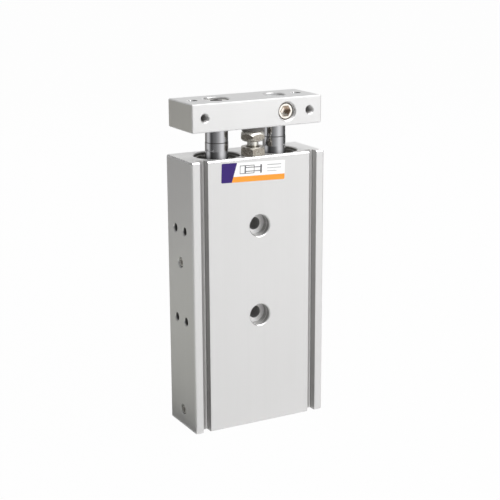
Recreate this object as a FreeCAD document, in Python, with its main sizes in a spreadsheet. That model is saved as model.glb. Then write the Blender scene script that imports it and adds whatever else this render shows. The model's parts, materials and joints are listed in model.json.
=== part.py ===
import FreeCAD, Part

import math
import os
from types import SimpleNamespace

import Sketcher

# Double rod pneumatic cylinder, millimetres. The rods run along +Z, the face with the
# sensor grooves looks along -Y, and the origin is the middle of the housing's lower end.
# It stands as photographed: retracted, with the end plate down on the stop bolt.

DIMENSIONS = {
    # extruded housing
    "bore_dia": 20.0,
    "bore_web": 8.0,
    "side_wall": 8.0,
    "face_wall": 2.5,
    "body_corner_radius": 0.8,
    "body_end_chamfer": 0.5,
    "bore_mouth_chamfer": 0.45,
    "groove_width": 3.7,
    "groove_depth": 4.0,
    "groove_inset": 5.7,
    "groove_floor_radius": 0.5,
    # through holes with a counterbore at both faces
    "mount_from_top": 30.0,
    "mount_spacing": 40.0,
    "mount_hole_dia": 5.5,
    "counterbore_dia": 9.5,
    "counterbore_depth": 5.2,
    "counterbore_chamfer": 0.4,
    # tapped holes of the housing's sides and of the plate
    "tapped_dia": 3.4,
    "tapped_depth": 7.0,
    "tapped_chamfer": 0.4,
    "side_tapped_spacing": 9.0,
    "side_tapped_drop": 0.5,
    # air ports
    "port_dia": 4.3,
    "port_depth": 6.0,
    "port_chamfer": 0.5,
    "passage_dia": 3.0,
    "rod_port_setback": 3.05,
    "plug_length": 4.6,
    "plug_recess": 0.5,
    "plug_hex": 2.5,
    "plug_hex_depth": 2.4,
    "plug_end_chamfer": 0.35,
    # retaining rings at both ends of a bore
    "ring_thickness": 1.0,
    "ring_setback": 1.2,
    "ring_groove_depth": 0.5,
    "ring_width": 1.9,
    "ring_gap": 2.0,
    "ring_lug_dia": 3.2,
    "ring_lug_drop": 0.95,
    "ring_lug_hole_dia": 1.4,
    "ring_play": 0.05,
    # head covers
    "head_cover_thickness": 3.8,
    "head_cover_recess_dia": 11.0,
    "head_cover_recess_depth": 1.2,
    "cover_chamfer": 0.3,
    "oring_section": 1.5,
    "oring_groove_width": 1.9,
    # rod covers with a guide bush and a rod seal under a washer
    "rod_cover_throat": 5.8,
    "rod_cover_relief": 0.2,
    "guide_bush_length": 30.0,
    "guide_bush_wall": 1.0,
    "rod_seal_height": 3.0,
    "rod_seal_wall": 2.26,
    "rod_seal_lip": 0.75,
    "retainer_thickness": 1.0,
    "retainer_relief": 0.35,
    "rod_cover_oring_drop": 6.0,
    # pistons
    "stroke": 50.0,
    "end_gap": 0.3,
    "retract_reserve": 1.5,
    "piston_foot_land": 1.5,
    "piston_seal_height": 3.0,
    "piston_seal_wall": 2.7,
    "piston_seal_vee": 0.5,
    "piston_middle_land": 1.8,
    "magnet_height": 4.0,
    "magnet_wall": 2.8,
    "magnet_sink": 0.6,
    "piston_upper_land": 1.2,
    "piston_nose_length": 3.2,
    "piston_nose_step": 1.4,
    "rod_bumper_thickness": 2.0,
    "rod_bumper_wall": 2.9,
    "head_bumper_thickness": 3.5,
    "head_bumper_wall": 2.0,
    "piston_nut_flats": 10.0,
    "piston_nut_height": 3.0,
    # rods
    "rod_dia": 10.0,
    "rod_neck_step": 0.1,
    "left_neck_length": 6.2,
    "right_neck_length": 5.7,
    "spigot_dia": 6.0,
    "spigot_proud": 0.2,
    "rod_end_chamfer": 0.4,
    # end plate
    "plate_setback": 1.0,
    "plate_thickness": 12.0,
    "plate_gap": 12.0,
    "plate_corner_radius": 0.6,
    "plate_edge_chamfer": 0.4,
    "plate_tapped_inset": 6.0,
    "plate_tapped_depth": 8.0,
    "rod_recess_depth": 2.0,
    "rod_end_drop": 0.8,
    # cap screw of the left rod and set screw of the right rod
    "screw_dia": 6.0,
    "screw_length": 16.0,
    "screw_reserve": 2.0,
    "screw_clearance_dia": 6.4,
    "screw_head_dia": 10.0,
    "screw_head_height": 6.0,
    "screw_head_hex": 5.0,
    "screw_head_hex_depth": 3.2,
    "screw_head_chamfer": 0.5,
    "screw_sink_dia": 11.2,
    "screw_sink_depth": 6.6,
    "clamp_dia": 8.0,
    "clamp_recess": 1.4,
    "clamp_hex": 4.0,
    "clamp_hex_depth": 2.6,
    "clamp_chamfer": 0.6,
    # stop bolt between the rods
    "stop_dia": 6.0,
    "stop_offset": 6.4,
    "stop_length": 20.0,
    "stop_reserve": 4.0,
    "stop_flats": 10.0,
    "stop_head_height": 4.4,
    "stop_head_foot_inset": 0.62,
    "stop_head_crown_inset": 0.95,
    "stop_nut_height": 3.6,
    "stop_bumper_dia": 9.6,
    "stop_bumper_thickness": 1.4,
    "stop_bumper_chamfer": 0.3,
    "stop_stem_dia": 4.0,
    "stop_stem_length": 2.6,
    "stop_gap": 0.1,
    "hex_cone_inset": 0.15,
    # clearances
    "seat_play": 0.02,
    "cover_play": 0.05,
    "piston_play": 0.07,
    "seal_play": 0.02,
    "rod_play": 0.03,
    "thread_play": 0.05,
    "bumper_play": 0.1,
}

SHEET = "Sizes"
TOLERANCE = 1e-5
CUT_PAST = 1.0
HEX_CORNER = 1 / math.sqrt(3)
NUT_CONE_SLOPE = math.tan(math.radians(30))
STOP_CONE_SLOPE = math.tan(math.radians(45))
STOP_CROWN_SLOPE = math.tan(math.radians(50))
STOP_TURN = 2
SIDES = {"left": -1, "right": 1}

doc = FreeCAD.newDocument("double_rod_cylinder")
nodes = []


class Size:
    """A length as a number, with the formula that ties it to the named dimensions."""

    def __init__(self, value, text):
        self.value = value
        self.text = text

    def joined(self, mark, other, value):
        return Size(value, "(%s %s %s)" % (self.text, mark, other.text))

    def __add__(self, other):
        other = as_size(other)
        return self.joined("+", other, self.value + other.value)

    def __radd__(self, other):
        return as_size(other) + self

    def __sub__(self, other):
        other = as_size(other)
        return self.joined("-", other, self.value - other.value)

    def __rsub__(self, other):
        return as_size(other) - self

    def __mul__(self, other):
        other = as_size(other)
        return self.joined("*", other, self.value * other.value)

    def __rmul__(self, other):
        return as_size(other) * self

    def __truediv__(self, other):
        other = as_size(other)
        return self.joined("/", other, self.value / other.value)

    def __neg__(self):
        return -1 * self


def as_size(number):
    if isinstance(number, Size):
        return number
    return Size(float(number), "(%.9f)" % number)


def fill_sheet():
    sheet = doc.addObject("Spreadsheet::Sheet", SHEET)
    named = {}
    for row, (name, number) in enumerate(DIMENSIONS.items(), start=1):
        sheet.set("A%d" % row, name)
        sheet.set("B%d" % row, str(number))
        sheet.setAlias("B%d" % row, name)
        named[name] = Size(number, "%s.%s" % (SHEET, name))
    doc.recompute()
    return SimpleNamespace(**named)


size = fill_sheet()
ZERO = as_size(0)

# Levels from the housing's lower end up: covers, pistons at rest, stroke, plate.
head_ring_low = size.ring_setback
head_cover_low = head_ring_low + size.ring_thickness
head_cover_high = head_cover_low + size.head_cover_thickness
head_bumper_low = head_cover_high + size.retract_reserve
piston_low = head_bumper_low + size.head_bumper_thickness
piston_seal_low = piston_low + size.piston_foot_land
piston_seal_high = piston_seal_low + size.piston_seal_height
magnet_low = piston_seal_high + size.piston_middle_land
magnet_high = magnet_low + size.magnet_height
piston_nose_low = magnet_high + size.piston_upper_land
piston_high = piston_nose_low + size.piston_nose_length
rod_bumper_high = piston_high + size.rod_bumper_thickness
rod_cover_low = rod_bumper_high + size.stroke + size.end_gap
bush_high = rod_cover_low + size.guide_bush_length
rod_seal_low = bush_high + size.rod_cover_throat
rod_cover_high = rod_seal_low + size.rod_seal_height
rod_ring_low = rod_cover_high + size.retainer_thickness
body_length = rod_ring_low + size.ring_thickness + size.ring_setback
plate_low = body_length + size.plate_gap
plate_middle = plate_low + size.plate_thickness / 2
plate_high = plate_low + size.plate_thickness
stop_bumper_low = plate_low - size.stop_gap - size.stop_bumper_thickness
stop_head_low = stop_bumper_low - size.stop_head_height

# The upper air passage opens just under the rod covers, the lower one just over the head covers.
rod_port_level = rod_cover_low - size.rod_port_setback
head_port_level = head_cover_high + size.passage_dia / 2
mount_levels = [body_length - size.mount_from_top]
mount_levels.append(mount_levels[0] - size.mount_spacing)

# Half sizes and radii that pieces share.
bore_radius = size.bore_dia / 2
bore_x = bore_radius + size.bore_web / 2
half_width = bore_x + bore_radius + size.side_wall
half_depth = bore_radius + size.face_wall
plate_half_width = half_width - size.plate_setback
plate_half_depth = half_depth - size.plate_setback
rod_radius = size.rod_dia / 2
neck_radius = rod_radius - size.rod_neck_step
spigot_hole_radius = size.spigot_dia / 2 + size.seat_play
piston_seal_inner = bore_radius - size.piston_seal_wall
magnet_inner = bore_radius - size.magnet_sink - size.magnet_wall
oring_inner = bore_radius - size.seal_play - size.oring_section
bush_outer = rod_radius + size.rod_play + size.guide_bush_wall
rod_seal_outer = rod_radius + size.rod_seal_wall
stop_turn = FreeCAD.Rotation(FreeCAD.Vector(0, 0, 1), STOP_TURN)


def bind_point(sketch, geometry, point, across, up):
    """Fix one point of a sketch at the given distances from the sketch's origin."""
    for kind, length, axis in (("DistanceX", across, -2), ("DistanceY", up, -1)):
        if abs(length.value) < TOLERANCE:
            sketch.addConstraint(Sketcher.Constraint("PointOnObject", geometry, point, axis))
            continue
        number = sketch.addConstraint(Sketcher.Constraint(kind, -1, 1, geometry, point, length.value))
        sketch.setExpression("Constraints[%d]" % number, length.text)


def outline(sketch, points):
    """Close a straight-sided outline through the points."""
    points = [(as_size(across), as_size(up)) for across, up in points]
    first = sketch.GeometryCount
    count = len(points)
    for index, (across, up) in enumerate(points):
        next_across, next_up = points[(index + 1) % count]
        start = FreeCAD.Vector(across.value, up.value, 0)
        end = FreeCAD.Vector(next_across.value, next_up.value, 0)
        sketch.addGeometry(Part.LineSegment(start, end))
    for index in range(count):
        following = first + (index + 1) % count
        sketch.addConstraint(Sketcher.Constraint("Coincident", first + index, 2, following, 1))
    for index, (across, up) in enumerate(points):
        bind_point(sketch, first + index, 1, across, up)


def rectangle(sketch, across_low, up_low, across_high, up_high):
    lower = [(across_low, up_low), (across_high, up_low)]
    upper = [(across_high, up_high), (across_low, up_high)]
    outline(sketch, lower + upper)


def hexagon(sketch, flats):
    reach = flats * HEX_CORNER
    turns = [math.radians(60 * corner) for corner in range(6)]
    corners = [(round(math.cos(turn), 9), round(math.sin(turn), 9)) for turn in turns]
    outline(sketch, [(reach * across, reach * up) for across, up in corners])


def circle(sketch, across, up, diameter):
    across, up, diameter = as_size(across), as_size(up), as_size(diameter)
    middle = FreeCAD.Vector(across.value, up.value, 0)
    number = sketch.addGeometry(Part.Circle(middle, FreeCAD.Vector(0, 0, 1), diameter.value / 2))
    bind_point(sketch, number, 3, across, up)
    fixed = sketch.addConstraint(Sketcher.Constraint("Diameter", number, diameter.value))
    sketch.setExpression("Constraints[%d]" % fixed, diameter.text)


def new_body(name):
    body = doc.addObject("PartDesign::Body", name)
    body.Label = name
    nodes.append(body)
    return body


def place(piece, across, along, up, rotation=None):
    """Put a piece at its place in the assembly."""
    if rotation is not None:
        piece.Placement = FreeCAD.Placement(FreeCAD.Vector(), rotation)
    for axis, length in zip("xyz", (across, along, up)):
        length = as_size(length)
        if abs(length.value) > TOLERANCE:
            piece.setExpression("Placement.Base." + axis, length.text)


def new_sketch(body, name, plane, offset=ZERO):
    """A sketch on one of the body's own planes, shifted along the plane's normal."""
    offset = as_size(offset)
    sketch = body.newObject("Sketcher::SketchObject", "%s_%s_sketch" % (body.Name, name))
    support = [feature for feature in body.Origin.OriginFeatures if feature.Role == plane][0]
    sketch.AttachmentSupport = [(support, "")]
    sketch.MapMode = "FlatFace"
    if abs(offset.value) > TOLERANCE:
        sketch.setExpression("AttachmentOffset.Base.z", offset.text)
    return sketch


def feature(body, kind, name, sketch, length=None, back=False):
    """A pad or pocket of a sketch. Without a length it goes right through."""
    made = body.newObject("PartDesign::" + kind, "%s_%s" % (body.Name, name))
    made.Profile = sketch
    made.Reversed = back
    if length is None:
        made.Type = "ThroughAll"
    else:
        made.setExpression("Length", as_size(length).text)
    check_change(body, made, kind)
    return made


def turned(body, kind, name, points):
    """A revolution or groove about the body's own Z axis from a half section (radius, level)."""
    sketch = new_sketch(body, name, "XZ_Plane")
    outline(sketch, points)
    made = body.newObject("PartDesign::" + kind, "%s_%s" % (body.Name, name))
    made.Profile = sketch
    made.ReferenceAxis = (sketch, ["V_Axis"])
    made.Angle = 360
    check_change(body, made, kind)
    return made


def check_change(body, made, kind):
    """A cut has to take material away, and a pad has to add some."""
    base = made.BaseFeature
    before = base.Shape.Volume if base is not None else 0.0
    doc.recompute()
    change = made.Shape.Volume - before
    adds = kind in ("Pad", "Revolution")
    if change == 0 or (change > 0) != adds:
        raise RuntimeError("%s changed the volume by %.4f" % (made.Name, change))


def dress(body, kind, name, picked, amount):
    """A chamfer or fillet on the edges of the body's last shape that the test picks."""
    base = body.Tip
    chosen = ["Edge%d" % (index + 1) for index, edge in enumerate(base.Shape.Edges) if picked(edge)]
    if not chosen:
        raise RuntimeError("%s_%s found no edge" % (body.Name, name))
    made = body.newObject("PartDesign::" + kind, "%s_%s" % (body.Name, name))
    made.Base = (base, chosen)
    made.setExpression("Radius" if kind == "Fillet" else "Size", amount.text)
    doc.recompute()


def level_is(value, level):
    return abs(value - as_size(level).value) < TOLERANCE


def mouth(radius, axis, level):
    """A test for the round edge of a hole where it opens at a flat face."""
    def picked(edge):
        if not isinstance(edge.Curve, Part.Circle) or not level_is(edge.Curve.Radius, radius):
            return False
        low = getattr(edge.BoundBox, axis + "Min")
        high = getattr(edge.BoundBox, axis + "Max")
        return level_is(low, level) and level_is(high, level)
    return picked


def either(*tests):
    return lambda edge: any(test(edge) for test in tests)


def upright(edge):
    return edge.BoundBox.ZLength > TOLERANCE and edge.BoundBox.XLength + edge.BoundBox.YLength < TOLERANCE


def flat_at(level):
    return lambda edge: level_is(edge.BoundBox.ZMin, level) and level_is(edge.BoundBox.ZMax, level)


def block(body, across, along, height, corner_radius, edge_chamfer):
    """A block, from its half sizes, with rounded upright edges and broken end edges."""
    sketch = new_sketch(body, "outline", "XY_Plane")
    rectangle(sketch, -across, -along, across, along)
    feature(body, "Pad", "block", sketch, height)
    dress(body, "Fillet", "corners", upright, corner_radius)
    dress(body, "Chamfer", "ends", either(flat_at(ZERO), flat_at(height)), edge_chamfer)


def drilled(body, name, plane, offset, spots, diameter, depth, back=False):
    """Round holes into a face, at the given spots of it."""
    sketch = new_sketch(body, name, plane, offset)
    for across, up in spots:
        circle(sketch, across, up, diameter)
    feature(body, "Pocket", name, sketch, depth, back)


def make_cylinder_body():
    body = new_body("cylinder_body")
    block(body, half_width, half_depth, body_length, size.body_corner_radius, size.body_end_chamfer)

    # sensor grooves along the front face
    groove_x = half_width - size.groove_inset
    floor = size.groove_depth - half_depth
    sketch = new_sketch(body, "grooves", "XY_Plane")
    for sign in SIDES.values():
        low = sign * groove_x - size.groove_width / 2
        rectangle(sketch, low, -half_depth - CUT_PAST, low + size.groove_width, floor)
    feature(body, "Pocket", "grooves", sketch, back=True)
    dress(body, "Fillet", "groove_floors",
          lambda edge: upright(edge) and level_is(edge.BoundBox.YMin, floor), size.groove_floor_radius)

    # bores with a retaining ring groove and a broken mouth at both ends
    bores = [(sign * bore_x, ZERO) for sign in SIDES.values()]
    drilled(body, "bores", "XY_Plane", ZERO, bores, size.bore_dia, None, back=True)
    ring_room = size.ring_thickness + 2 * size.seat_play
    ring_groove_dia = size.bore_dia + 2 * size.ring_groove_depth
    for name, low in (("head_ring_groove", head_ring_low), ("rod_ring_groove", rod_ring_low)):
        drilled(body, name, "XY_Plane", low - size.seat_play, bores, ring_groove_dia, ring_room, back=True)
    bore_mouths = [mouth(bore_radius, "Z", level) for level in (ZERO, body_length)]
    dress(body, "Chamfer", "bore_mouths", either(*bore_mouths), size.bore_mouth_chamfer)

    # through holes between the bores
    spots = [(ZERO, level) for level in mount_levels]
    drilled(body, "mount_holes", "XZ_Plane", half_depth, spots, size.mount_hole_dia, None)
    for name, face, back in (("front", half_depth, False), ("back", -half_depth, True)):
        drilled(body, name + "_counterbores", "XZ_Plane", face, spots, size.counterbore_dia,
                size.counterbore_depth, back)
    counterbore_radius = size.counterbore_dia / 2
    dress(body, "Chamfer", "counterbore_mouths",
          either(mouth(counterbore_radius, "Y", -half_depth), mouth(counterbore_radius, "Y", half_depth)),
          size.counterbore_chamfer)

    # tapped holes and air ports in both sides, and the passages that join the two bores
    tapped_y = size.side_tapped_spacing / 2
    tapped_levels = [level - size.side_tapped_drop for level in mount_levels]
    tapped = [(sign * tapped_y, level) for sign in SIDES.values() for level in tapped_levels]
    ports = [(ZERO, rod_port_level), (ZERO, head_port_level)]
    for side, sign in SIDES.items():
        face = sign * half_width
        back = sign < 0
        drilled(body, side + "_tapped", "YZ_Plane", face, tapped, size.tapped_dia, size.tapped_depth, back)
        drilled(body, side + "_ports", "YZ_Plane", face, ports, size.port_dia, size.port_depth, back)
    faces = [sign * half_width for sign in SIDES.values()]
    tapped_mouths = [mouth(size.tapped_dia / 2, "X", face) for face in faces]
    port_mouths = [mouth(size.port_dia / 2, "X", face) for face in faces]
    dress(body, "Chamfer", "tapped_mouths", either(*tapped_mouths), size.tapped_chamfer)
    dress(body, "Chamfer", "port_mouths", either(*port_mouths), size.port_chamfer)
    drilled(body, "passages", "YZ_Plane", half_width, ports, size.passage_dia, None)

    # tapped hole of the stop bolt
    stop_hole_dia = size.stop_dia + 2 * size.thread_play
    stop_hole_depth = body_length - stop_head_low + size.stop_length + size.stop_reserve
    spot = [(ZERO, -size.stop_offset)]
    drilled(body, "stop_hole", "XY_Plane", body_length, spot, stop_hole_dia, stop_hole_depth)


def make_end_plate():
    body = new_body("end_plate")
    top = size.plate_thickness
    middle = size.plate_thickness / 2
    front = plate_half_depth
    block(body, plate_half_width, front, top, size.plate_corner_radius, size.plate_edge_chamfer)

    # seats of the two rods
    rod_hole_dia = 2 * (neck_radius + size.seat_play)
    left = [(-bore_x, ZERO)]
    drilled(body, "left_screw_hole", "XY_Plane", top, left, size.screw_clearance_dia, None)
    drilled(body, "left_screw_sink", "XY_Plane", top, left, size.screw_sink_dia, size.screw_sink_depth)
    drilled(body, "left_rod_seat", "XY_Plane", ZERO, left, rod_hole_dia, size.rod_recess_depth, back=True)
    drilled(body, "right_rod_hole", "XY_Plane", top, [(bore_x, ZERO)], rod_hole_dia, None)
    clamp_hole_dia = size.clamp_dia + 2 * size.seat_play
    drilled(body, "clamp_hole", "XZ_Plane", front, [(bore_x, middle)], clamp_hole_dia, front)

    # tapped holes in the top and in the front
    tapped_x = plate_half_width - size.plate_tapped_inset
    on_top = [(sign * tapped_x, ZERO) for sign in SIDES.values()]
    on_front = [(sign * tapped_x, middle) for sign in SIDES.values()]
    drilled(body, "top_tapped", "XY_Plane", top, on_top, size.tapped_dia, size.plate_tapped_depth)
    drilled(body, "front_tapped", "XZ_Plane", front, on_front, size.tapped_dia, size.plate_tapped_depth)
    tapped_radius = size.tapped_dia / 2
    dress(body, "Chamfer", "tapped_mouths",
          either(mouth(tapped_radius, "Z", top), mouth(tapped_radius, "Y", -front)), size.tapped_chamfer)
    dress(body, "Chamfer", "seat_mouths",
          either(mouth(size.screw_sink_dia / 2, "Z", top), mouth(rod_hole_dia / 2, "Z", top),
                 mouth(clamp_hole_dia / 2, "Y", -front)), size.plate_edge_chamfer)
    place(body, ZERO, ZERO, plate_low)


def make_piston_rod(side):
    body = new_body("piston_rod_" + side)
    if side == "left":
        neck_low = plate_low - size.left_neck_length
        rod_high = plate_low + size.rod_recess_depth
    else:
        neck_low = plate_low - size.right_neck_length
        rod_high = plate_high - size.rod_end_drop
    chamfer = size.rod_end_chamfer
    spigot_radius = size.spigot_dia / 2
    spigot_low = piston_low - size.piston_nut_height - size.spigot_proud
    turned(body, "Revolution", "bar", [
        (ZERO, spigot_low),
        (spigot_radius - chamfer, spigot_low),
        (spigot_radius, spigot_low + chamfer),
        (spigot_radius, piston_high),
        (rod_radius, piston_high),
        (rod_radius, neck_low - (rod_radius - neck_radius)),
        (neck_radius, neck_low),
        (neck_radius, rod_high - chamfer),
        (neck_radius - chamfer, rod_high),
        (ZERO, rod_high),
    ])
    if side == "left":
        screw_end = plate_high - size.screw_sink_depth - size.screw_length
        depth = rod_high - screw_end + size.screw_reserve
        thread_dia = size.screw_dia + 2 * size.seat_play
        drilled(body, "screw_thread", "XY_Plane", rod_high, [(ZERO, ZERO)], thread_dia, depth)
    place(body, SIDES[side] * bore_x, ZERO, ZERO)


def make_piston(side):
    body = new_body("piston_" + side)
    outer = bore_radius - size.piston_play
    inner = spigot_hole_radius
    nose = outer - size.piston_nose_step
    chamfer = size.cover_chamfer
    seal_floor = piston_seal_inner - size.seat_play
    magnet_floor = magnet_inner - size.seat_play
    turned(body, "Revolution", "turning", [
        (inner, piston_low),
        (outer - chamfer, piston_low),
        (outer, piston_low + chamfer),
        (outer, piston_seal_low),
        (seal_floor, piston_seal_low),
        (seal_floor, piston_seal_high),
        (outer, piston_seal_high),
        (outer, magnet_low),
        (magnet_floor, magnet_low),
        (magnet_floor, magnet_high),
        (outer, magnet_high),
        (outer, piston_nose_low),
        (nose, piston_nose_low),
        (nose, piston_high),
        (inner, piston_high),
    ])
    place(body, SIDES[side] * bore_x, ZERO, ZERO)


def make_piston_seal(side):
    body = new_body("piston_seal_" + side)
    outer = bore_radius - size.seal_play
    low = piston_seal_low + size.seat_play
    high = piston_seal_high - size.seat_play
    middle = (low + high) / 2
    vee = size.piston_seal_vee
    turned(body, "Revolution", "ring", [
        (piston_seal_inner, low),
        (outer, low),
        (outer, middle - vee),
        (outer - vee, middle),
        (outer, middle + vee),
        (outer, high),
        (piston_seal_inner, high),
    ])
    place(body, SIDES[side] * bore_x, ZERO, ZERO)


def make_tube(name, side, inner, outer, low, high):
    """A plain turned ring about one bore's axis."""
    body = new_body("%s_%s" % (name, side))
    turned(body, "Revolution", "ring", [(inner, low), (outer, low), (outer, high), (inner, high)])
    place(body, SIDES[side] * bore_x, ZERO, ZERO)


def make_nut(name, flats, height, hole_radius, upper_slope):
    """A hexagon nut with chamfered corners, standing on its own base plane."""
    body = new_body(name)
    sketch = new_sketch(body, "flats", "XY_Plane")
    hexagon(sketch, flats)
    feature(body, "Pad", "flats", sketch, height)
    hex_corners(body, "lower_corners", flats, ZERO, size.hex_cone_inset, NUT_CONE_SLOPE)
    hex_corners(body, "upper_corners", flats, height, size.hex_cone_inset, -upper_slope)
    drilled(body, "thread", "XY_Plane", height, [(ZERO, ZERO)], 2 * hole_radius, None)
    return body


def hex_corners(body, name, flats, level, inset, slope):
    """Turn the corners of a hexagon down to a cone that starts inside its flats."""
    start = flats / 2 - inset
    reach = flats * HEX_CORNER + CUT_PAST
    fall = (reach - start) * slope
    turned(body, "Groove", name, [(start, level), (reach, level), (reach, level + fall)])


def make_piston_nut(side):
    body = make_nut("piston_nut_" + side, size.piston_nut_flats, size.piston_nut_height, spigot_hole_radius,
                    NUT_CONE_SLOPE)
    place(body, SIDES[side] * bore_x, ZERO, piston_low - size.piston_nut_height)


def make_rod_cover(side):
    body = new_body("rod_cover_" + side)
    outer = bore_radius - size.cover_play
    chamfer = size.cover_chamfer
    groove_high = rod_cover_high - size.rod_cover_oring_drop
    groove_low = groove_high - size.oring_groove_width
    bush_room = bush_high + size.seat_play
    throat = rod_radius + size.rod_cover_relief
    turned(body, "Revolution", "turning", [
        (bush_outer + size.seat_play, rod_cover_low),
        (outer - chamfer, rod_cover_low),
        (outer, rod_cover_low + chamfer),
        (outer, groove_low),
        (oring_inner - size.seat_play, groove_low),
        (oring_inner - size.seat_play, groove_high),
        (outer, groove_high),
        (outer, rod_cover_high),
        (rod_seal_outer + size.seat_play, rod_cover_high),
        (rod_seal_outer + size.seat_play, rod_seal_low - size.seat_play),
        (throat, rod_seal_low - size.seat_play),
        (throat, bush_room),
        (bush_outer + size.seat_play, bush_room),
    ])
    place(body, SIDES[side] * bore_x, ZERO, ZERO)


def make_rod_seal(side):
    body = new_body("rod_seal_" + side)
    high = rod_cover_high - size.seat_play
    lip = rod_radius + size.seal_play
    heel = rod_radius + size.rod_cover_relief
    middle = (lip + rod_seal_outer) / 2
    turned(body, "Revolution", "ring", [
        (lip, rod_seal_low),
        (lip + size.rod_seal_lip, rod_seal_low),
        (middle, rod_seal_low + size.rod_seal_height / 2),
        (rod_seal_outer - size.rod_seal_lip, rod_seal_low),
        (rod_seal_outer, rod_seal_low),
        (rod_seal_outer, high),
        (heel, high),
    ])
    place(body, SIDES[side] * bore_x, ZERO, ZERO)


def make_head_cover(side):
    body = new_body("head_cover_" + side)
    outer = bore_radius - size.cover_play
    chamfer = size.cover_chamfer
    middle = (head_cover_low + head_cover_high) / 2
    groove_low = middle - size.oring_groove_width / 2
    groove_high = middle + size.oring_groove_width / 2
    recess = size.head_cover_recess_dia / 2
    recess_high = head_cover_low + size.head_cover_recess_depth
    turned(body, "Revolution", "turning", [
        (ZERO, recess_high),
        (recess - size.head_cover_recess_depth, recess_high),
        (recess, head_cover_low),
        (outer, head_cover_low),
        (outer, groove_low),
        (oring_inner - size.seat_play, groove_low),
        (oring_inner - size.seat_play, groove_high),
        (outer, groove_high),
        (outer, head_cover_high - chamfer),
        (outer - chamfer, head_cover_high),
        (ZERO, head_cover_high),
    ])
    place(body, SIDES[side] * bore_x, ZERO, ZERO)


def make_oring(name, side, middle):
    ring = doc.addObject("Part::Torus", "%s_%s" % (name, side))
    ring.Label = "%s_%s" % (name, side)
    ring.setExpression("Radius1", (bore_radius - size.seal_play - size.oring_section / 2).text)
    ring.setExpression("Radius2", (size.oring_section / 2).text)
    place(ring, SIDES[side] * bore_x, ZERO, middle)
    nodes.append(ring)


def make_retaining_ring(name, side, low):
    """An open spring ring with two eared ends, its gap towards the back."""
    body = new_body("%s_%s" % (name, side))
    outer = bore_radius + size.ring_groove_depth - size.ring_play
    inner = outer - size.ring_width
    sketch = new_sketch(body, "band", "XY_Plane")
    circle(sketch, ZERO, ZERO, 2 * outer)
    circle(sketch, ZERO, ZERO, 2 * inner)
    feature(body, "Pad", "band", sketch, size.ring_thickness)
    gap = size.ring_gap / 2
    sketch = new_sketch(body, "gap", "XY_Plane")
    rectangle(sketch, -gap, inner - CUT_PAST, gap, outer + CUT_PAST)
    feature(body, "Pocket", "gap", sketch, back=True)
    lug_x = gap + size.ring_lug_dia / 2
    lugs = [(sign * lug_x, inner - size.ring_lug_drop) for sign in SIDES.values()]
    sketch = new_sketch(body, "lugs", "XY_Plane")
    for across, up in lugs:
        circle(sketch, across, up, size.ring_lug_dia)
    feature(body, "Pad", "lugs", sketch, size.ring_thickness)
    drilled(body, "eyes", "XY_Plane", size.ring_thickness, lugs, size.ring_lug_hole_dia, None)
    place(body, SIDES[side] * bore_x, ZERO, low)


def hex_socket(body, flats, depth, level):
    sketch = new_sketch(body, "socket", "XY_Plane", level)
    hexagon(sketch, flats)
    feature(body, "Pocket", "socket", sketch, depth)


def make_plate_cap_screw():
    body = new_body("plate_cap_screw")
    shank = size.screw_dia / 2
    head = size.screw_head_dia / 2
    chamfer = size.screw_head_chamfer
    top = size.screw_head_height
    turned(body, "Revolution", "turning", [
        (ZERO, -size.screw_length),
        (shank - chamfer, -size.screw_length),
        (shank, chamfer - size.screw_length),
        (shank, ZERO),
        (head, ZERO),
        (head, top - chamfer),
        (head - chamfer, top),
        (ZERO, top),
    ])
    hex_socket(body, size.screw_head_hex, size.screw_head_hex_depth, top)
    place(body, -bore_x, ZERO, plate_high - size.screw_sink_depth)


def set_screw(name, diameter, length, chamfer, flats, socket_depth):
    """A headless screw with a hexagon socket in its upper end, which lies at the base plane."""
    body = new_body(name)
    radius = diameter / 2
    turned(body, "Revolution", "turning", [
        (ZERO, -length),
        (radius - chamfer, -length),
        (radius, chamfer - length),
        (radius, -chamfer),
        (radius - chamfer, ZERO),
        (ZERO, ZERO),
    ])
    hex_socket(body, flats, socket_depth, ZERO)
    return body


def make_clamp_screw():
    outer_end = plate_half_depth - size.clamp_recess
    length = outer_end - neck_radius - size.seat_play
    body = set_screw("clamp_screw", size.clamp_dia, length, size.clamp_chamfer, size.clamp_hex,
                     size.clamp_hex_depth)
    facing_front = FreeCAD.Rotation(FreeCAD.Vector(1, 0, 0), 90)
    place(body, bore_x, -outer_end, plate_middle, facing_front)


def make_port_plugs():
    plug_dia = size.port_dia - 2 * size.seat_play
    plugs = []
    facing_left = FreeCAD.Rotation(FreeCAD.Vector(0, 1, 0), -90)
    for name, level in (("rod_port_plug", rod_port_level), ("head_port_plug", head_port_level)):
        plug = set_screw(name, plug_dia, size.plug_length, size.plug_end_chamfer, size.plug_hex,
                         size.plug_hex_depth)
        place(plug, size.plug_recess - half_width, ZERO, level, facing_left)
        nodes.remove(plug)
        plugs.append(plug)
    group = doc.addObject("Part::Compound", "port_plugs")
    group.Label = "port_plugs"
    group.Links = plugs
    nodes.append(group)


def make_stop_bolt():
    body = new_body("stop_bolt")
    shank = size.stop_dia / 2
    end = -size.stop_length
    chamfer = size.rod_end_chamfer
    sketch = new_sketch(body, "flats", "XY_Plane")
    hexagon(sketch, size.stop_flats)
    feature(body, "Pad", "flats", sketch, size.stop_head_height)
    hex_corners(body, "lower_corners", size.stop_flats, ZERO, size.stop_head_foot_inset, STOP_CONE_SLOPE)
    hex_corners(body, "upper_corners", size.stop_flats, size.stop_head_height, size.stop_head_crown_inset,
                -STOP_CROWN_SLOPE)
    turned(body, "Revolution", "shank", [
        (ZERO, end),
        (shank - chamfer, end),
        (shank, end + chamfer),
        (shank, ZERO),
        (ZERO, ZERO),
    ])
    stem_hole = size.stop_stem_length + size.seat_play
    drilled(body, "stem_hole", "XY_Plane", size.stop_head_height, [(ZERO, ZERO)],
            size.stop_stem_dia + 2 * size.seat_play, stem_hole)
    place(body, ZERO, -size.stop_offset, stop_head_low, stop_turn)


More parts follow.
